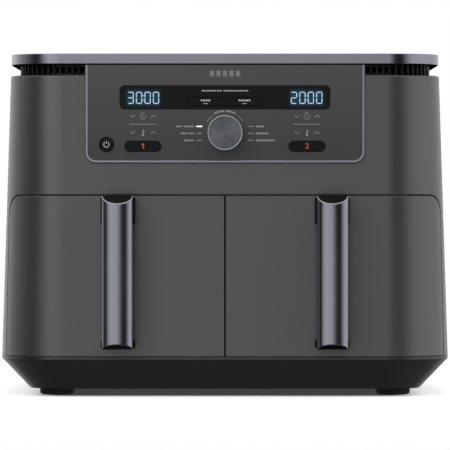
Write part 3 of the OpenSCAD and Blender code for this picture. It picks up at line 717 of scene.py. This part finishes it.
def studio():
    """A white floor that only the camera sees, with a painted shadow dark under the body, and a
    room of greys.
    """
    clear_choice()
    bpy.ops.mesh.primitive_plane_add(size=1, location=(0, 0, 0))
    floor = bpy.context.object
    floor.name = "studio_floor"
    floor.scale = (1.8, 1.8, 1)
    settle(floor)
    white = Finish("studio_white", Roughness=0.9, Emission_Strength=0.62)
    grain = white.noise(40, 2)
    # Painted shadow: the floor is dark in colour and glow over a patch round the body's footprint,
    # fading out a little beyond it.
    away = white.outside(white.place((1, 1, 0), (0, 0.016, 0)), (0.150, 0.120, 0))
    beyond_painted_shadow = white.fade(away + grain * 0.004, 0.0, 0.042)
    pale = white.blend(grain, (0.80, 0.80, 0.80, 1), (0.84, 0.84, 0.84, 1))
    white.feed("Base Color", white.blend(beyond_painted_shadow, (0.03, 0.03, 0.03, 1), pale))
    white.feed("Emission Color", white.blend(beyond_painted_shadow, (0.07, 0.07, 0.07, 1), (1, 1, 1, 1)))
    clear = white.node("BsdfTransparent", {})
    to_camera = white.node("LightPath", {}, output="Is Camera Ray")
    shown = white.node("MixShader", {}, to_camera, clear, Value(white, white.shader.outputs[0]))
    white.tree.links.new(shown.socket, white.tree.nodes["Material Output"].inputs["Surface"])
    floor.data.materials.append(white.material)

    world = bpy.data.worlds.new("studio")
    bpy.context.scene.world = world
    world.use_nodes = True
    world.node_tree.nodes.clear()
    room = Graph(world.node_tree)
    way = room.node("TexCoord", {}, output="Generated")
    across = room.node("SeparateXYZ", {}, way, output="X")
    deep = room.node("SeparateXYZ", {}, way, output="Y")
    up = room.node("SeparateXYZ", {}, way, output="Z")
    bearing = across.maths("ARCTAN2", 0.0 - deep) / (2 * math.pi) + 0.5
    walls = room.ramp(bearing, ROOM)
    overhead = room.fade(up, 0.25, 0.75)
    below = room.fade(up, -0.6, -0.2, 0.15, 1.0)
    level = (walls * (1.0 - overhead) + overhead * 0.75) * below
    backdrop = room.node("Background", {}, (1, 1, 1, 1), 1.0)
    light = room.node("Background", {}, (1, 1, 1, 1), level)
    to_camera = room.node("LightPath", {}, output="Is Camera Ray")
    mixed = room.node("MixShader", {}, to_camera, light, backdrop)
    out = room.tree.nodes.new("ShaderNodeOutputWorld")
    room.tree.links.new(mixed.socket, out.inputs["Surface"])

    middle = (0, 0, 0.16)
    softbox("key_left", (-1.6, -2.2, 1.2), middle, 1.2, 1.2, 6)
    softbox("top", (0, 0.2, 1.9), middle, 1.6, 1.2, 5)
    bpy.context.scene.view_settings.view_transform = "Standard"


# Brightness of the room by bearing: 0 and 1 are behind the object, 0.5 is the camera's side,
# below 0.5 is the left.
ROOM = (
    (0.00, 0.85), (0.12, 1.00), (0.16, 0.80), (0.19, 0.55), (0.23, 0.38), (0.26, 0.26),
    (0.29, 0.12), (0.32, 0.02), (0.345, 0.015), (0.365, 0.06), (0.385, 0.30), (0.405, 0.62),
    (0.43, 0.76), (0.47, 0.76), (0.50, 0.66), (0.515, 0.42), (0.528, 0.18), (0.542, 0.04),
    (0.580, 0.02), (0.597, 0.10), (0.615, 0.36), (0.635, 0.62), (0.66, 0.76), (0.75, 0.82),
    (0.80, 0.74), (0.90, 0.80), (1.00, 0.85),
)


# ---------------------------------------------------------------- housing, base and lid


def housing():
    """The painted shell, open below and above, with holes for drawers, panel and rear cover."""
    shell = body_block(RIM_Z, SHOULDER_Z)
    round_edges(shell, along_top_outline(SHOULDER_Z), 1.8 * MM, 4)
    combine(shell, body_block(RIM_Z - MM, SHOULDER_Z - WALL, WALL))
    combine(shell, block((-0.17, FRONT + 16 * MM, 0.28), (0.17, REAR - 16 * MM, 0.32)))
    combine(shell, drawer_profile(SEAM, -0.22, 0.22))
    for wall_y, half_w, half_h, radius, z in (
        (FRONT, 118.5, 33.8, 6, 255.8), (REAR, 140, 95, 10, 165)
    ):
        y0, y1 = wall_y - 5 * MM, wall_y + 5 * MM
        combine(shell, pill(half_w * MM, half_h * MM, radius * MM, y0, y1, 0, z * MM))
    soften(shell, 0.4 * MM)
    fit(shell, "housing", CHASSIS, BODY_PAINT, "body_metallic", "housing_shell")


def gasket():
    """A grey strip set back in the seam round both drawers."""
    set_back, rear_face = 0.9 * MM, 3.2 * MM
    strip = body_block(RIM_Z + MM, DRAWER_HIGH.z + 3 * MM, set_back)
    combine(strip, drawer_profile(SEAM + 0.2 * MM, -0.22, 0.22), "INTERSECT")
    combine(strip, drawer_profile(0.3 * MM, -0.23, 0.23))
    combine(strip, body_block(RIM_Z - MM, DRAWER_HIGH.z + 5 * MM, rear_face))
    soften(strip, 0.0)
    fit(strip, "drawer_gasket", CHASSIS, GASKET_RUBBER, "rubber")


def along_top_outline(z):
    """A test for the edges round a block's top face."""
    return lambda edge: all(abs(vert.co.z - z) < SNAP for vert in edge.verts)


def base():
    """The tray below the seam: a narrow lip over a wide chamfer."""
    lip = 3.0 * MM
    rise = RIM_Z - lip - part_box("base_tray")[0].z
    tray = body_block(RIM_Z - lip, RIM_Z)
    with Edit(tray) as edit:
        edit.choose("faces", facing((0, 0, -1)))
        bpy.ops.mesh.inset(thickness=CHAMFER, depth=rise)
    soften(tray, 0.25 * MM, angle=30)
    fit(tray, "base", CHASSIS, BASE_PLASTIC, "base_plastic", "base_tray")


def lid():
    skin = LID_LOW.z + 0.6 * MM
    rim = rounded_plate(skin, LID_HIGH.z, 0)
    combine(rim, rounded_plate(LID_LOW.z - MM, LID_HIGH.z + MM, 3.2 * MM))
    soften(rim, 0.5 * MM, 4)
    fit(rim, "lid_rim_band", CHASSIS, LID_METAL, "lid_metal", "lid_rim")
    under = rounded_plate(LID_LOW.z, skin, 0.5 * MM)
    soften(under, 0.0)
    fit(under, "lid_underside", CHASSIS, UNLIT_PLASTIC, "lid_plastic", "lid_panel")
    top = rounded_plate(skin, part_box("lid_panel")[1].z, 3.4 * MM)
    with Edit(top) as edit:
        edit.choose("faces", facing((0, 0, 1)))
        bpy.ops.mesh.inset(thickness=9 * MM, depth=0.0)
        bpy.ops.mesh.inset(thickness=1.2 * MM, depth=-0.8 * MM)
    soften(top, 0.5 * MM, angle=25)
    fit(top, "lid_top", CHASSIS, LID_PLASTIC, "lid_plastic", "lid_panel")


def rounded_plate(z0, z1, inset):
    return plan_block(LID_LOW, LID_HIGH, LID_CORNERS, z0, z1, inset)


RIB_PITCH = 5.75 * MM
RIB_DEPTH = 3.5 * MM


def rib_places(half, front, rear, front_r, rear_r):
    """Points and headings round a rounded rectangle, one for each rib."""
    corners = (
        (1, rear, rear_r, 0), (-1, rear, rear_r, 90),
        (-1, front, front_r, 180), (1, front, front_r, 270),
    )
    for side, edge_y, radius, start in corners:
        centre = Vector((side * (half - radius), edge_y - math.copysign(radius, edge_y), 0))
        count = round(radius * math.pi / 2 / RIB_PITCH)
        for step in range(count):
            angle = math.radians(start + 90 * (step + 0.5) / count)
            yield centre + radius * Vector((math.cos(angle), math.sin(angle), 0)), angle
        end = math.radians(start + 90)
        out = Vector((math.cos(end), math.sin(end), 0))
        onward = Vector((-math.sin(end), math.cos(end), 0))
        length = 2 * (half - radius) if start % 180 == 0 else rear - front - front_r - rear_r
        count = round(length / RIB_PITCH)
        for step in range(count):
            yield centre + radius * out + onward * length * (step + 0.5) / count, end


def vent():
    """The ribbed collar under the lid, held by a rail above and one below."""
    low, high = NECK_LOW, NECK_HIGH
    rib = block((-RIB_DEPTH, -MM, low.z), (0, MM, high.z))
    round_edges(rib, along(Z, lambda p: p.x > -MM), 0.6 * MM, 2)
    places = rib_places(high.x, low.y, high.y, *NECK_CORNERS)
    ribs = [copy_of(rib, place, (0, 0, angle)) for place, angle in places]
    bpy.data.objects.remove(rib)
    comb = join(ribs)
    rails = []
    for z0, z1 in ((low.z, low.z + 2 * MM), (high.z - 2 * MM, high.z)):
        ring = neck_block(z0, z1, RIB_DEPTH - 0.1 * MM)
        combine(ring, neck_block(z0 - MM, z1 + MM, 5.5 * MM))
        rails.append(ring)
    comb = join([comb] + rails)
    soften(comb, 0.0)
    fit(comb, "vent_collar", CHASSIS, VENT_PLASTIC, "vent_plastic", "vent_neck")


def neck_block(z0, z1, inset):
    return plan_block(NECK_LOW, NECK_HIGH, NECK_CORNERS, z0, z1, inset)


# ---------------------------------------------------------------- drawers and handles


def drawer(side_name, flip):
    """A hollow drawer front, modelled on the right and mirrored for the left."""
    body = side_name + "_drawer"
    gap = DRAWER_LOW.x
    low = RIM_Z + 0.25 * MM
    top = DRAWER_HIGH.z
    skin = 3 * MM
    front = body_block(low, top)
    combine(front, drawer_profile(0, gap, 0.22), "INTERSECT")
    hollow = body_block(low + skin, top - skin, skin)
    room = drawer_profile(-skin, gap + skin, 0.22)
    rear_y = DRAWER_HIGH.y
    opening = block((gap + skin, rear_y - 10 * MM, low), (0.22, rear_y + 5 * MM, 0.166))
    combine(room, opening, "UNION")
    combine(hollow, room, "INTERSECT")
    combine(front, hollow)
    if flip:
        front = mirror_piece(front)
    soften(front, 0.5 * MM)
    fit(front, body + "_face", body, BODY_PAINT, "body_metallic", body + "_front")


def mirror_piece(piece):
    """Takes a piece to the other side; it is eased only after this, so both reflect alike."""
    twin = copy_of(piece, flip=True)
    bpy.data.objects.remove(piece)
    return twin


def grip_shape(inset, back, ends):
    """An upright bar with a half-oval front."""
    bar = drum(GRIP_R - inset, ends[0] - 0.02, ends[1] + 0.02, Z, 128, (GRIP_X, GRIP_AXIS))
    with Edit(bar) as edit:
        slice_off((0, GRIP_AXIS, 0), (0, 1, 0))
        edit.choose("faces", facing((0, 1, 0)))
        bpy.ops.mesh.extrude_region_move(TRANSFORM_OT_translate={"value": (0, back - GRIP_AXIS, 0)})
        edit.choose("verts", lambda vert: vert.co.y < GRIP_AXIS - SNAP)
        flatten = (GRIP_DEPTH - inset) / (GRIP_R - inset)
        bpy.ops.transform.resize(value=(1, flatten, 1), center_override=(0, GRIP_AXIS, 0))
    return bar


def slant_cut(piece, rise_high=7.7 * MM, rise_low=4.8 * MM):
    """Cuts both ends of a grip: level behind its axis, sloping in front of it."""
    for level, rise, up in ((GRIP_HIGH.z, rise_high, 1), (GRIP_LOW.z, rise_low, -1)):
        run = GRIP_AXIS - GRIP_LOW.y
        slope = Vector((0, -rise * up, run)).normalized() * up
        with Edit(piece):
            slice_off((0, 0, level), (0, 0, up))
            slice_off((0, GRIP_AXIS, level), slope)
    return piece


def handle(side_name, flip):
    """A thin metal-look cover over a dark core with two posts to the drawer front."""
    body = side_name + "_drawer"
    ends = (GRIP_LOW.z, GRIP_HIGH.z)
    wall = 1.0 * MM
    cover = slant_cut(grip_shape(0, GRIP_HIGH.y, ends))
    combine(cover, grip_shape(wall, GRIP_HIGH.y + MM, ends))
    core_low, core_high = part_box("right_handle_core")
    back = -155 * MM
    filler = slant_cut(grip_shape(wall, GRIP_HIGH.y, ends))
    spine_low = (GRIP_LOW.x, GRIP_HIGH.y, core_low.z + 0.4 * MM)
    spine = block(spine_low, (GRIP_HIGH.x, back, core_high.z))
    round_edges(spine, along(Z, lambda p: p.y > back - MM), 4 * MM, 6)
    combine(filler, spine, "UNION")
    for upper, low, high in (
        (True, 158 * MM, core_high.z - 0.3 * MM), (False, core_low.z, 53 * MM)
    ):
        post = block((core_low.x, back - 2 * MM, low), (core_high.x, FRONT, high))
        if upper:
            with Edit(post) as edit:
                edit.choose("verts", lambda vert: vert.co.z < 0.16 and vert.co.y > FRONT - MM)
                bpy.ops.transform.translate(value=(0, 0, 5 * MM))
        round_edges(post, along(Y, lambda p: True), 3 * MM, 6)
        combine(filler, post, "UNION")
    if flip:
        cover = mirror_piece(cover)
        filler = mirror_piece(filler)
    soften(cover, 0.22 * MM)
    soften(filler, 0.5 * MM)
    for piece, kind, finish, slot in (
        (cover, "cover", HANDLE_METAL, "handle_metal"),
        (filler, "core", HANDLE_PLASTIC, "handle_plastic"),
    ):
        fit(piece, f"{side_name}_grip_{kind}", body, finish, slot, f"{side_name}_handle_{kind}")


# ---------------------------------------------------------------- control panel


def fascia():
    """The panel with its openings, its metal-look trim and a thin dark ring round that, which
    stands for the shadow line at the trim's edge: painted shade.
    """
    plate = panel_block(TRIM, PANEL_Y, FRONT)
    y0, y1 = PANEL_Y - MM, FRONT + MM
    combine(plate, pill(96.6 * MM, 11 * MM, 4.7 * MM, y0, y1, 0, WINDOW_MID_Z))
    combine(plate, drum(6.95 * MM, y0, y1, Y, 48, (POWER_X, POWER_Z)))
    for side in (-1, 1):
        combine(plate, pill(16.9 * MM, 4.95 * MM, 4.9 * MM, y0, y1, side * ZONE_X, ZONE_Z))
    combine(plate, drum(5 * MM, y0, y1, Y, 32, (0, DIAL_Z)))
    back = block((-125 * MM, FRONT, SHOULDER_Z), (125 * MM, FRONT + 7 * MM, PANEL_HIGH.z))
    combine(plate, back, "UNION")
    soften(plate, 0.25 * MM)
    fit(plate, "control_panel", CHASSIS, FASCIA_PLASTIC, "fascia_plastic", "control_fascia")

    trim = panel_block(0, PANEL_LOW.y, FRONT)
    inner = panel_block(TRIM, PANEL_LOW.y - MM, FRONT + MM)
    with Edit(inner) as edit:
        edit.choose("verts", lambda vert: vert.co.z > PANEL_HIGH.z - MM)
        bpy.ops.transform.translate(value=(0, 0, 5 * MM))
    combine(trim, inner)
    soften(trim, 0.45 * MM)
    # Painted shade: a thin dark ring just proud of the housing round the trim stands for the shadow
    # line at the trim's edge.
    shadow_ring = panel_block(-0.55 * MM, FRONT - 0.25 * MM, FRONT)
    combine(shadow_ring, panel_block(0.2 * MM, FRONT - MM, FRONT + MM))
    soften(shadow_ring, 0.0)
    fit(shadow_ring, "control_panel_shadow_ring", CHASSIS, FRAME_PLASTIC, "frame_plastic")
    fit(trim, "control_panel_trim", CHASSIS, TRIM_METAL, "trim_metal", "fascia_trim")


def window():
    front, back = WINDOW_LOW.y, WINDOW_HIGH.y
    plate = pill(96.5 * MM, 10.9 * MM, 4.6 * MM, front, back, 0, WINDOW_MID_Z)
    combine(plate, pill(34.8 * MM, 4.1 * MM, 4.05 * MM, front - MM, back + MM, 0, PAIR_Z))
    soften(plate, 0.3 * MM)
    centres = [(side * DIGIT_X, front, DIGIT_Z) for side in (-1, 1)]
    digits_half, blue = (13.5 * MM, 1, 5.2 * MM), (0.008, 0.032, 0.055, 1)
    finish = tinted_window("window_gloss", centres, digits_half, blue)
    fit(plate, "display_glass", CHASSIS, finish, "window_gloss", "display_window")


INK = 0.06 * MM  # how far printed marks stand out


def bar(x, z, width, height, surface, turn=0.0, radius=0.0):
    """A thin printed bar on a surface that faces the front."""
    piece = block((-width / 2, -INK, -height / 2), (width / 2, 0, height / 2))
    if radius:
        round_edges(piece, along(Y, lambda p: True), radius, 3)
    piece.rotation_euler = (0, turn, 0)
    piece.location = (x, surface, z)
    return settle(piece)


def arc(x, z, radius, start, end, width, surface, steps=14):
    """A thin printed arc; angles are in degrees from the right, anticlockwise from the front."""
    piece = block((radius - width / 2, -INK, 0), (radius + width / 2, 0, 0.001 * MM))
    with Edit(piece) as edit:
        edit.choose("faces", facing((0, 0, 1)))
        bpy.ops.mesh.spin(
            steps=steps, angle=math.radians(end - start), center=(0, 0, 0), axis=(0, 1, 0)
        )
        whole_mesh()
        bpy.ops.mesh.remove_doubles(threshold=0.004 * MM)
        bpy.ops.mesh.normals_make_consistent(inside=False)
    piece.rotation_euler = (0, -math.radians(start), 0)
    piece.location = (x, surface, z)
    return settle(piece)


def chevron(x, z, up, surface):
    """Two short strokes that meet in a point."""
    lean = math.radians(43) * up
    return [
        bar(x + side * 1.12 * MM, z, 3.3 * MM, 0.5 * MM, surface, side * lean, 0.15 * MM)
        for side in (-1, 1)
    ]


def timer_icon(x, z, surface):
    return [
        arc(x, z, 2.6 * MM, 60, 385, 0.42 * MM, surface, 24),
        bar(x + 0.35 * MM, z + 0.45 * MM, 1.9 * MM, 0.42 * MM, surface, math.radians(-52)),
        bar(x - 0.9 * MM, z + 3.2 * MM, 1.5 * MM, 0.4 * MM, surface),
    ]


def thermometer_icon(x, z, surface):
    bulb = drum(1.15 * MM, surface - INK, surface, Y, 20, (x, z - 1.9 * MM))
    return [
        bulb,
        bar(x, z + 0.6 * MM, 0.9 * MM, 4.4 * MM, surface, 0, 0.3 * MM),
        bar(x + 1.3 * MM, z + 1.9 * MM, 0.9 * MM, 0.32 * MM, surface),
        bar(x + 1.3 * MM, z + 0.8 * MM, 0.9 * MM, 0.32 * MM, surface),
    ]


def blocks(start, z, words, surface, height=1.5 * MM, pitch=1.95 * MM, toward=1):
    """Plain blocks where small print would be; words gives the number of blocks in each group."""
    made = []
    place = start
    for count in words:
        for _ in range(count):
            middle = place + toward * pitch / 2
            made.append(bar(middle, z, pitch * 0.66, height, surface, 0, 0.2 * MM))
            place += toward * pitch
        place += toward * pitch * 0.55
    return made


def row_z(row):
    """Height of one of the three programme rows beside the dial."""
    return (248.1 - 6.4 * row) * MM


def printed_marks():
    grey = []
    white = []
    for side in (-1, 1):
        for z, icon in ((257.4, timer_icon), (242.4, thermometer_icon)):
            grey += icon(side * 75.2 * MM, z * MM, PANEL_Y)
            grey += chevron((side * 75.2 - 9.4) * MM, z * MM, -1, PANEL_Y)
            grey += chevron((side * 75.2 + 9.4) * MM, z * MM, 1, PANEL_Y)
        grey.append(bar(side * 75.2 * MM, 250.1 * MM, 25.2 * MM, 0.45 * MM, PANEL_Y))
        for row in range(3):
            z = row_z(row)
            if side < 0 and row == 0:
                white.append(bar(-23.6 * MM, z, 5.5 * MM, 1.2 * MM, PANEL_Y, 0, 0.3 * MM))
            else:
                grey.append(bar(side * 23.5 * MM, z, 5.1 * MM, 0.7 * MM, PANEL_Y, 0, 0.2 * MM))
        grey.append(arc(0, DIAL_Z, 19.6 * MM, 90 - 58 * side, 90 - 36 * side, 0.4 * MM, PANEL_Y))
    labels = []
    counts = {-1: ((5, 3), (3, 3), (5,)), 1: ((4,), (6,), (9,))}
    for side, rows in counts.items():
        for row, words in enumerate(rows):
            labels += blocks(side * 28.2 * MM, row_z(row), words, PANEL_Y, toward=side)
    for side in (-1, 1):
        for step in range(5):
            lean = 90 - side * (4.5 + 5.4 * step)
            labels.append(arc(0, DIAL_Z, 20.3 * MM, lean - 1.7, lean + 1.7, 1.5 * MM, PANEL_Y, 3))
    fit(join(grey), "panel_icons", CHASSIS, GLOWING_PRINT_GREY, "fascia_plastic")
    fit(join(labels), "panel_blocks", CHASSIS, GLOWING_PRINT_LIGHT, "fascia_plastic")
    badge = blocks(-15.0 * MM, 296.6 * MM, (5,), PANEL_Y, 5.4 * MM, 6.0 * MM)
    fit(join(badge), "panel_badge", CHASSIS, GLOWING_BADGE_SILVER, "trim_metal")
    fit(join(white), "panel_lit_bar", CHASSIS, LIT_WHITE, "led_plastic")
    glass = blocks(-21.6 * MM, 280.8 * MM, (8, 10), WINDOW_LOW.y, 1.1 * MM, 2.33 * MM)
    fit(join(glass), "window_blocks", CHASSIS, GLOWING_PRINT_WHITE, "window_gloss")


SEGMENTS = {"0": "abcdef", "2": "abged", "3": "abgcd"}


def digit(character, x, z, surface):
    """Seven-segment numeral, 11 mm tall."""
    half_w = 2.45 * MM
    half_h = 5.1 * MM
    thick = 0.78 * MM
    places = {
        "a": (0, half_h, 0), "g": (0, 0, 0), "d": (0, -half_h, 0),
        "f": (-half_w, half_h / 2, 1), "b": (half_w, half_h / 2, 1),
        "e": (-half_w, -half_h / 2, 1), "c": (half_w, -half_h / 2, 1),
    }
    strokes = []
    for name in SEGMENTS[character]:
        dx, dz, upright = places[name]
        length = (half_h if upright else 2 * half_w) - 0.75 * MM
        turn = math.pi / 2 if upright else 0
        strokes.append(bar(x + dx, z + dz, length, thick, surface, turn, 0.3 * MM))
    return strokes


def lit_digits():
    strokes = []
    front = WINDOW_LOW.y
    dot = 0.8 * MM
    for side, text in ((-1, "3000"), (1, "2000")):
        middle = side * DIGIT_X
        for place, character in enumerate(text):
            strokes += digit(character, middle + (place - 1.5) * 7.75 * MM, DIGIT_Z, front)
        for dz in (-1.9, 1.9):
            strokes.append(bar(middle, DIGIT_Z + dz * MM, dot, dot, front, 0, 0.3 * MM))
    fit(join(strokes), "lit_digits", CHASSIS, LIT_BLUE, "led_plastic")


def numeral(text, x, z, surface, size, material, body, name):
    clear_choice()
    bpy.ops.object.text_add()
    piece = bpy.context.object
    piece.data.body = text
    piece.data.size = size
    piece.data.align_x = "CENTER"
    piece.data.align_y = "CENTER"
    piece.data.extrude = 0.03 * MM
    piece.data.offset = 0.05 * MM
    piece.location = (x, surface - 0.03 * MM, z)
    piece.rotation_euler = (math.pi / 2, 0, 0)
    only(piece)
    bpy.ops.object.convert(target="MESH")
    piece = settle(bpy.context.object)
    return fit(piece, name, body, material, "key_gloss")


FLANGE_Y = FRONT + 0.6 * MM
FLANGE_END = FRONT + 1.6 * MM


def stem(name, x, z):
    """The pin behind a key, as deep as its node."""
    return drum(1.5 * MM, FRONT + 1.5 * MM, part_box(name)[1].y, Y, 20, (x, z))


def keys():
    for side, zone in ((-1, "zone_1"), (1, "zone_2")):
        x = side * ZONE_X
        body = zone + "_cap"
        cap = pill(16.65 * MM, 4.7 * MM, 4.65 * MM, KEY_Y, FLANGE_Y, x, ZONE_Z)
        flange = pill(17.4 * MM, 5.6 * MM, 5.5 * MM, FLANGE_Y, FLANGE_END, x, ZONE_Z)
        combine(cap, flange, "UNION")
        combine(cap, stem(zone + "_button", x, ZONE_Z), "UNION")
        soften(cap, 0.25 * MM)
        fit(cap, zone + "_key", body, KEY_GLOSS, "key_gloss", zone + "_button")
        label = zone + "_numeral"
        if side < 0:
            lean = math.radians(-34)
            strokes = [
                bar(x + 0.5 * MM, ZONE_Z, 1.05 * MM, 5.0 * MM, KEY_Y),
                bar(x - 0.45 * MM, ZONE_Z + 1.75 * MM, 2.0 * MM, 0.9 * MM, KEY_Y, lean),
            ]
            fit(join(strokes), label, body, GLOWING_PRINT_RED, "key_gloss")
        else:
            numeral("2", x, ZONE_Z, KEY_Y, 7.2 * MM, GLOWING_PRINT_RED, body, label)
    centre = (POWER_X, POWER_Z)
    radius = 6.7 * MM
    cap = drum(radius, KEY_Y, FLANGE_Y, Y, 64, centre)
    combine(cap, drum(radius + 1.1 * MM, FLANGE_Y, FLANGE_END, Y, 64, centre), "UNION")
    combine(cap, stem("power_button", *centre), "UNION")
    soften(cap, 0.25 * MM)
    fit(cap, "power_key", "power_cap", KEY_GLOSS, "key_gloss", "power_button")
    icon = [
        arc(POWER_X, POWER_Z, 2.5 * MM, 125, 415, 0.62 * MM, KEY_Y, 22),
        bar(POWER_X, POWER_Z + 1.9 * MM, 0.62 * MM, 2.6 * MM, KEY_Y, 0, 0.2 * MM),
    ]
    fit(join(icon), "power_symbol", "power_cap", GLOWING_PRINT_WHITE, "key_gloss")
    for side, name in ((-1, "sync"), (1, "match")):
        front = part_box(name + "_key")[0].y
        cap = pill(34.5 * MM, 3.8 * MM, 3.75 * MM, front, FLANGE_Y, 0, PAIR_Z)
        flange = pill(35.5 * MM, 4.6 * MM, 4.5 * MM, FLANGE_Y, FLANGE_END, 0, PAIR_Z)
        combine(cap, flange, "UNION")
        left, right = sorted((0.2 * MM * side, 40 * MM * side))
        half = block((left, -0.2, PAIR_Z - 10 * MM), (right, 0, PAIR_Z + 10 * MM))
        combine(cap, half, "INTERSECT")
        soften(cap, 0.2 * MM)
        body = name + "_cap"
        fit(cap, name + "_touch_key", body, KEY_GLOSS, "key_gloss", name + "_key")
        count = 4 if side < 0 else 5
        middle = side * 17.9 * MM
        start = middle - count * 1.15 * MM
        marks = blocks(start, 271.9 * MM, (count,), front, 1.6 * MM, 2.3 * MM)
        marks.append(bar(middle, 269.0 * MM, 4.2 * MM, 0.5 * MM, front))
        fit(join(marks), name + "_mark", body, GLOWING_PRINT_WHITE, "key_gloss")


def dial():
    front = DIAL_LOW.y
    back = DIAL_HIGH.y
    knob = drum(DIAL_R, front, back, Y, 96, (0, DIAL_Z))
    with Edit(knob) as edit:
        edit.choose("faces", facing((0, -1, 0)))
        bpy.ops.mesh.inset(thickness=DIAL_R - 14.7 * MM)
        bpy.ops.mesh.extrude_region_move(TRANSFORM_OT_translate={"value": (0, 1.2 * MM, 0)})
        edit.choose("faces", facing((0, 1, 0), lambda p: p.y > back - MM))
        bpy.ops.mesh.inset(thickness=1.8 * MM)
        bpy.ops.mesh.extrude_region_move(TRANSFORM_OT_translate={"value": (0, -8 * MM, 0)})
    soften(knob, 0.5 * MM, 4)
    fit(knob, "dial_body", "dial", KNOB_METAL, "knob_metal", "dial_knob")
    low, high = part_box("dial_face")
    face = drum(14.65 * MM, low.y, high.y, Y, 96, (0, DIAL_Z))
    with Edit(face) as edit:
        edit.choose("faces", facing((0, -1, 0)))
        bpy.ops.mesh.inset(thickness=0.7 * MM, depth=-0.15 * MM)
    soften(face, 0.15 * MM, 2, 20)
    fit(face, "dial_disc", "dial", DIAL_METAL, "dial_metal", "dial_face")


# ---------------------------------------------------------------- nodes kept from the frame


def eased(node, name, body, material, slot, width):
    """A copy of a node with its flat faces joined up, its edges eased and its curves smoothed."""
    twin = frame["nodes"][node].copy()
    twin.data = twin.data.copy()
    twin.parent = None
    bpy.context.collection.objects.link(twin)
    settle(twin)
    with Edit(twin):
        whole_mesh()
        bpy.ops.mesh.remove_doubles(threshold=0.005 * MM)
        whole_mesh()
        bpy.ops.mesh.dissolve_limited(angle_limit=math.radians(1.0))
    soften(twin, width, 2)
    return fit(twin, name, body, material, slot, node)


def inner_pieces():
    """The parts that show when a drawer is out or from behind and below."""
    eased("rear_cover", "rear_panel", CHASSIS, REAR_PLASTIC, "rear_plastic", 0.35 * MM)
    eased("front_frame", "drawer_surround", CHASSIS, FRAME_PLASTIC, "frame_plastic", 0.3 * MM)
    eased("rubber_feet", "feet", CHASSIS, RUBBER, "rubber", 0.7 * MM)
    eased("cord_gland", "gland", CHASSIS, RUBBER, "rubber", 0.3 * MM)
    for side in ("left", "right"):
        for node, name, body, material, slot, width in (
            ("_basket", "_pan", "_drawer", NONSTICK, "nonstick", 0.3),
            ("_drawer_liner", "_liner", "_drawer", FRAME_PLASTIC, "frame_plastic", 0.3),
            ("_crisper_plate", "_plate", "_plate", NONSTICK, "nonstick", 0.25),
            ("_plate_bumpers", "_bumpers", "_plate", RUBBER, "rubber", 0.3),
        ):
            eased(side + node, side + name, side + body, material, slot, width * MM)


def paint_nodes():
    """Gives every node the finish of its slot."""
    finishes = {
        "base_plastic": BASE_PLASTIC, "rubber": RUBBER, "screw_steel": SCREW_STEEL,
        "body_metallic": BODY_PAINT, "frame_plastic": FRAME_PLASTIC, "rear_plastic": REAR_PLASTIC,
        "vent_plastic": VENT_PLASTIC, "lid_plastic": LID_PLASTIC, "lid_metal": LID_METAL,
        "fascia_plastic": FASCIA_PLASTIC, "trim_metal": TRIM_METAL, "window_gloss": KEY_GLOSS,
        "led_plastic": LED_PLASTIC, "circuit_board": CIRCUIT_BOARD,
        "switch_plastic": SWITCH_PLASTIC,
        "encoder_metal": PROBE_STEEL, "galvanised_sheet": GALVANISED, "probe_steel": PROBE_STEEL,
        "ceramic": CERAMIC, "chamber_sheet": CHAMBER_SHEET, "heater_steel": HEATER_STEEL,
        "motor_steel": GALVANISED, "nonstick": NONSTICK, "handle_plastic": HANDLE_PLASTIC,
        "handle_metal": HANDLE_METAL, "knob_metal": KNOB_METAL, "dial_metal": DIAL_METAL,
        "shaft_steel": SHAFT_STEEL, "nylon": NYLON, "key_gloss": KEY_GLOSS,
        "fan_aluminium": FAN_ALUMINIUM,
    }
    slots = {row["node"]: row["material_slot"] for row in frame["record"]["subparts"]}
    for node, slot in slots.items():
        piece = frame["nodes"][node]
        if not piece.material_slots:
            piece.data.materials.append(finishes[slot])
        for holder in piece.material_slots:
            holder.material = finishes[slot]


clear_choice()
paint_nodes()
camera()
studio()
housing()
gasket()
base()
lid()
vent()
fascia()
window()
printed_marks()
lit_digits()
keys()
dial()
for side_name, flip in (("right", False), ("left", True)):
    drawer(side_name, flip)
    handle(side_name, flip)
inner_pieces()
